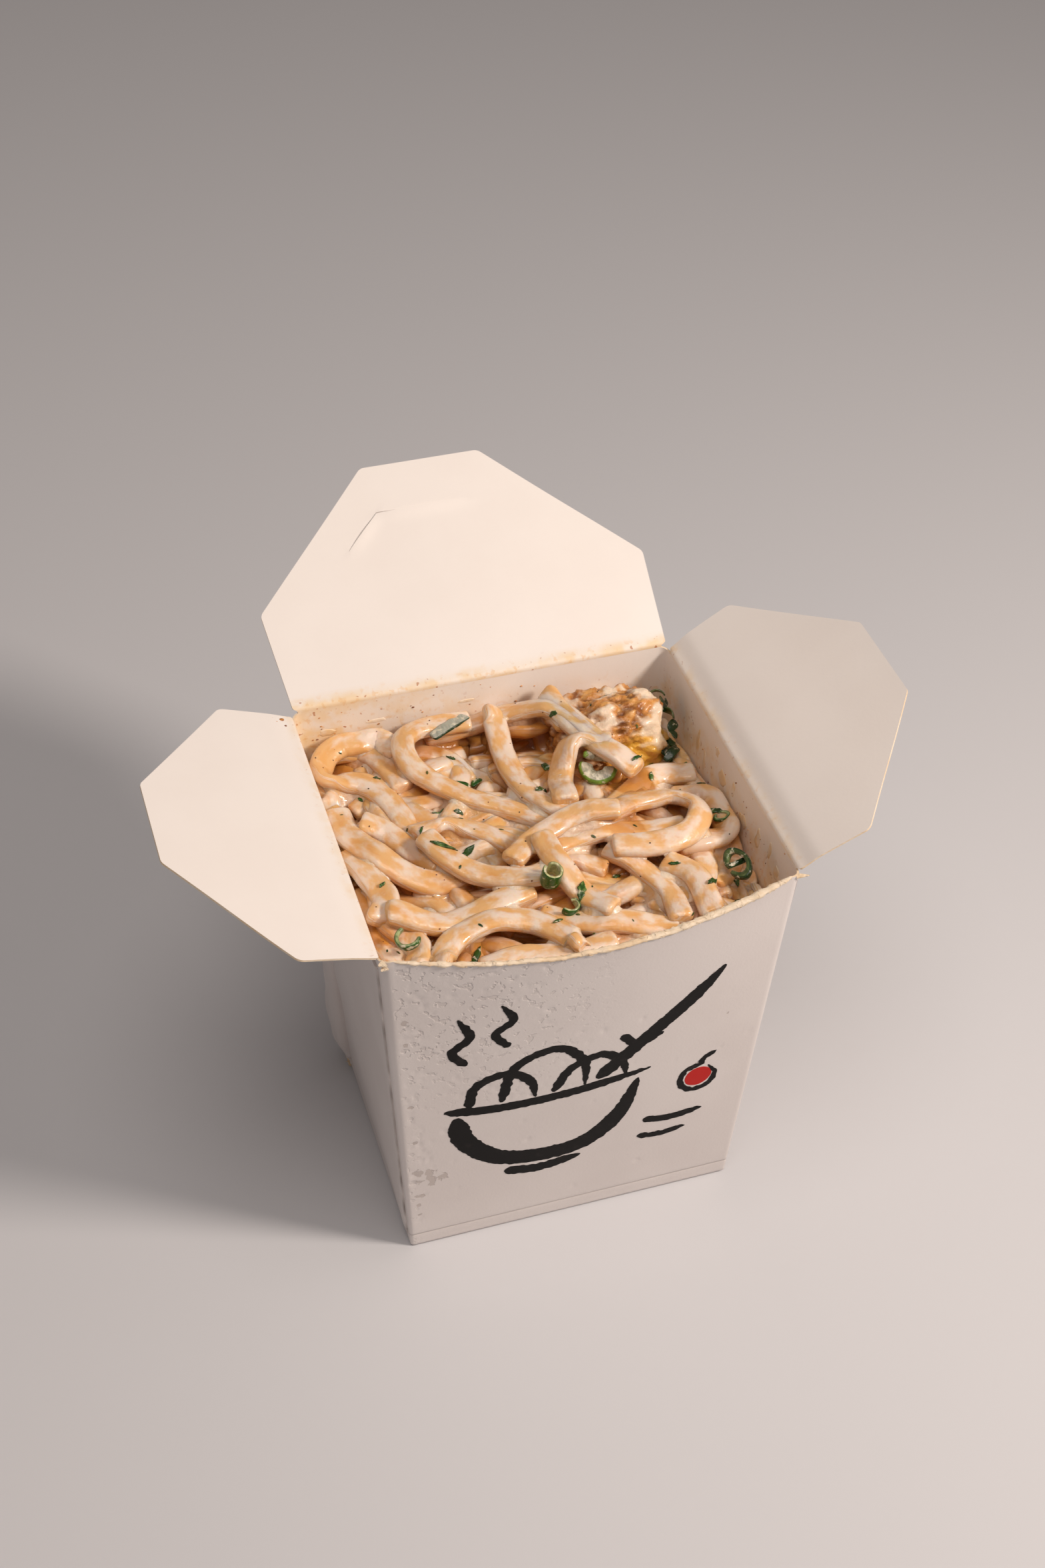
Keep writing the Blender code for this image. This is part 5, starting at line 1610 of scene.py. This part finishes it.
def make_fuzz(pulp):
    """Torn fibres at the foot of the sprung ply."""
    low, high = 1.6 * MM, 5.5 * MM
    rows = 20
    grids = []
    for skin in (0.25, -0.1):
        grid = []
        for i in range(rows + 1):
            z = mix(low, high, i / rows)
            for k in range(7):
                y = back_edge_y(z) - LOOP_WIDTH * 0.9 + k * 0.45 * MM
                out = 0.4 * MM + skin * MM + 0.3 * MM * noise.noise(Vector((i * 0.5, k * 0.7, 4)))
                grid.append(Vector((side_wall_x(-1, z, out), y, z)))
        grids.append(grid)
    pad = sheet_between("ply_fuzz", grids, rows, 6, pulp, pulp, pulp)
    fibres = scattered(pad, flake_shape("ply_fibre", 1.0, 0.05, 0.05), pulp, "ply_fibres", density=3e6,
                       seed=9, smallest=0.8 * MM, largest=2.0 * MM, upward=-2.0, lift=0.1 * MM)
    return join([pad, fibres], "ply_fuzz")


# Smears of sauce on the walls: wall, share along it, height in millimetres, half length, half height
SMEARS = (
    (BACK, 0.94, 106.5, 2.4, 0.9), (BACK, 0.80, 107.5, 3.0, 0.5), (BACK, 0.55, 108.5, 2.6, 0.4),
    (RIGHT, 0.72, 103.0, 1.0, 3.6), (RIGHT, 0.66, 101.0, 0.8, 3.2), (RIGHT, 0.52, 104.5, 2.4, 2.0),
    (RIGHT, 0.44, 106.5, 1.0, 2.6), (RIGHT, 0.35, 103.0, 2.8, 1.6), (RIGHT, 0.24, 105.0, 1.4, 3.0),
    (RIGHT, 0.16, 107.0, 0.9, 2.4), (RIGHT, 0.10, 104.5, 1.5, 2.0), (RIGHT, 0.58, 109.0, 1.2, 1.5),
    (LEFT, 0.15, 106.0, 2.0, 1.4), (LEFT, 0.5, 105.0, 2.5, 1.2),
)


def make_smears(material):
    """Thin smears of sauce dragged up the inside of the walls."""
    pieces = []
    rings, spokes = 8, 28
    for number, (side, share, height, long, tall) in enumerate(SMEARS):
        verts = []
        run = RIM_DEPTH if side in (LEFT, RIGHT) else RIM_WIDTH
        for over in (True, False):
            for ring in range(1, rings + 1):
                for k in range(spokes):
                    angle = 2 * math.pi * k / spokes
                    r = ring / rings
                    at = Vector((math.cos(angle) * 1.3, math.sin(angle) * 1.3, number * 5))
                    edge = 1 + 0.45 * noise.noise(at)
                    along = share + long * MM * r * edge * math.cos(angle) / run
                    z = (height + tall * r * edge * math.sin(angle)) * MM
                    thick = 0.12 * MM * math.sqrt(max(1 - r ** 3, 0.0)) if over else -0.05 * MM
                    verts.append(wall_point(("side", side, along), z, BOARD + thick))
        faces = []
        block = rings * spokes
        for start in (0, block):
            faces += [tuple(range(start, start + spokes))] + ring_faces(rings - 1, spokes, start)
        last = [block - spokes + k for k in range(spokes)]
        faces += [(a, b, block + b, block + a) for a, b in zip(last, last[1:] + last[:1])]
        pieces.append(tidy_normals(add_object("smear", verts, faces, material)))
    return join(pieces, "wall_smears")


def make_crumbs(name, points, material):
    """Little crumbs at given places, each a lumpy grain half sunk in what it lies on."""
    bm = bmesh.new()
    for number, (place, size) in enumerate(points):
        made = bmesh.ops.create_icosphere(bm, subdivisions=2, radius=size * MM)
        for vert in made["verts"]:
            grown = 1 + 0.45 * noise.noise(vert.co * 900 + Vector((number, 0, 0)))
            vert.co = Vector((vert.co.x * 1.3, vert.co.y, vert.co.z * 0.6)) * grown + Vector(place)
    return add_built(bm, name, material)


def all_crumbs(material):
    draw = random.Random(SEED + 1)
    wall = []
    for _ in range(26):
        share = draw.random() ** 0.7
        z = draw.uniform(103, 113)
        place = wall_point(("side", BACK, mix(0.25, 0.98, share)), z * MM, BOARD)
        wall.append((place, draw.uniform(0.12, 0.3)))
    for _ in range(20):
        wall.append((wall_point(("side", RIGHT, draw.uniform(0.05, 0.8)), draw.uniform(101, 113) * MM, BOARD),
                     draw.uniform(0.1, 0.25)))
    dress(make_crumbs("wall_crumbs", wall, material), "box", "crust")
    side_x, side_z = (RIM_WIDTH - BOARD) / 2, HEIGHT - SIDE_HINGE_DROP
    turn = Matrix.Translation((-side_x, 0, side_z)) @ Matrix.Rotation(math.radians(90), 4, "Z")
    turn = turn @ Matrix.Rotation(OPEN_LEFT, 4, "X")
    spots = ((41.5, 3.2, 0.55), (40.6, 4.6, 0.4), (42.0, 5.4, 0.3), (39.2, 2.6, 0.3), (38, 5.2, 0.2),
             (41, 7.5, 0.18))
    flap = [(turn @ Vector((x * MM, y * MM, BOARD / 2)), r) for x, y, r in spots]
    dress(make_crumbs("flap_crumbs", flap, material), "left_lid", "crust")


# Camera, light and floor

CAMERA_AZIMUTH = math.radians(-17.88)
CAMERA_ELEVATION = math.radians(41.34)
CAMERA_ROLL = math.radians(0.99)
CAMERA_DISTANCE = 593.5 * MM
CAMERA_SHIFT = (-1.76 * MM, 87.34 * MM)
KEY_AZIMUTH = math.radians(-35)     # of the key light, from +X towards the front
KEY_ELEVATION = math.radians(40)


def make_camera():
    a, e, roll = CAMERA_AZIMUTH, CAMERA_ELEVATION, CAMERA_ROLL
    back = Vector((math.sin(a) * math.cos(e), -math.cos(a) * math.cos(e), math.sin(e)))
    right = Vector((math.cos(a), math.sin(a), 0))
    up = back.cross(right)
    turned_right = right * math.cos(roll) + up * math.sin(roll)
    turned_up = up * math.cos(roll) - right * math.sin(roll)
    data = bpy.data.cameras.new("camera")
    data.lens = 50
    data.sensor_fit = "VERTICAL"
    data.sensor_height = 36
    data.clip_start = 0.01
    data.clip_end = 20
    camera = in_scene("camera", data)
    place = back * CAMERA_DISTANCE + turned_right * CAMERA_SHIFT[0] + turned_up * CAMERA_SHIFT[1]
    axes = Matrix((turned_right, turned_up, back)).transposed()
    camera.matrix_world = Matrix.Translation(place) @ axes.to_4x4()
    bpy.context.scene.camera = camera


def add_light(name, azimuth, elevation, distance, size, power, colour):
    data = bpy.data.lights.new(name, "AREA")
    data.shape = "DISK"
    data.size = size
    data.energy = power
    data.color = colour
    light = in_scene(name, data)
    towards = Vector((math.cos(azimuth) * math.cos(elevation), math.sin(azimuth) * math.cos(elevation),
                      math.sin(elevation)))
    light.location = Vector((0, 0, 0.09)) + towards * distance
    light.rotation_euler = towards.to_track_quat("Z", "Y").to_euler()


def make_studio():
    material, _ = new_material("pale_studio_floor", Roughness=0.75, Base_Color=linear("#D3D4D8"))
    corners = [(-12, -12, 0), (12, -12, 0), (12, 12, 0), (-12, 12, 0)]
    floor = add_object("floor", corners, [(0, 1, 2, 3)], material)
    add_light("key", KEY_AZIMUTH, KEY_ELEVATION, 0.8, 0.16, 4.9, (1.0, 0.87, 0.77))
    add_light("top", math.radians(-115), math.radians(74), 1.6, 1.0, 8.2, (1.0, 0.9, 0.83))
    world = bpy.data.worlds.new("studio")
    world.use_nodes = True
    world.node_tree.nodes["Background"].inputs[0].default_value = linear("#F6E9E2")
    world.node_tree.nodes["Background"].inputs[1].default_value = 0.18
    bpy.context.scene.world = world
    bpy.context.scene.view_settings.view_transform = "Standard"


def surface_tree(objects):
    """One tree of several objects' faces, for setting things down on them."""
    verts, faces = [], []
    for obj in objects:
        first = len(verts)
        verts += [v.co.copy() for v in obj.data.vertices]
        faces += [tuple(first + i for i in p.vertices) for p in obj.data.polygons]
    return BVHTree.FromPolygons(verts, faces)


def main():
    make_camera()
    make_studio()
    outside, inside, pulp = coated_board(), inside_board(), torn_pulp()
    dress(make_carton(outside, inside, pulp), "box", "board", "carton")
    for sign in (-1, 1):
        dress(make_gusset(sign, outside), "box", "board")
    dress(make_sprung_ply(outside, pulp), "box", "board")
    dress(make_fuzz(pulp), "box", "board")
    dress(make_torn_edge(pulp), "box", "board")
    make_flaps(inside, outside, pulp)
    make_print(printing_ink("black_offset_ink", "#0B0807"), printing_ink("red_offset_ink", "#C4221C"))
    noodle, cream = sauced_noodle(), cream_sauce()
    upper, lower, field = make_noodles(noodle)
    sauce = make_sauce(upper, lower, cream)
    for piece in (upper, lower, sauce):
        mark_depth(piece, field)
    block = heap_block("packed_pasta", FLOOR + CLEARANCE, BLOCK_DROP, BOARD + CLEARANCE, cream, rings=10)
    chunk = make_chicken(browned_crust())
    leaf = cut_vegetable("wet_leaf", "#2C5218", "#7C9A46", edge=(0.1, 0.6))
    skins = {"stalk": cut_vegetable("leek_stalk", "#203A20", "#B9BAAC", (0.45, 0.75), "#8C9284", 0.12),
             "bean": cut_vegetable("dark_green_bean", "#23601A", "#D0CF98", mottled=0.3),
             "pale": cut_vegetable("pale_courgette", "#7C9E3C", "#E9E3CC", (0.5, 0.8), "#5A5F38", 0.3),
             "peel": cut_vegetable("green_peel", "#39692A", "#A9B983"),
             "pepper": cut_vegetable("dark_pepper", "#1F3B18", "#56693C"), "leaf": leaf}
    surface = surface_tree([upper, lower, sauce])
    make_greens(skins, surface)
    dress(make_shreds(surface, leaf), "box", "greens")
    make_specks([upper, sauce, chunk], dried_flake("dried_herb", "#23401B", "#5A5A22"),
                dried_flake("cracked_pepper", "#2A1A12", "#8A5630"))
    dress(make_smears(thin_smear()), "box", "pasta")
    all_crumbs(dried_flake("toasted_crumb", "#7A4520", "#C98A45"))
    dress(upper, "box", "pasta", "pasta")
    for obj in (lower, sauce, block):
        dress(obj, "box", "pasta")
    dress(chunk, "box", "crust", "chicken")
    bpy.context.view_layer.update()


main()
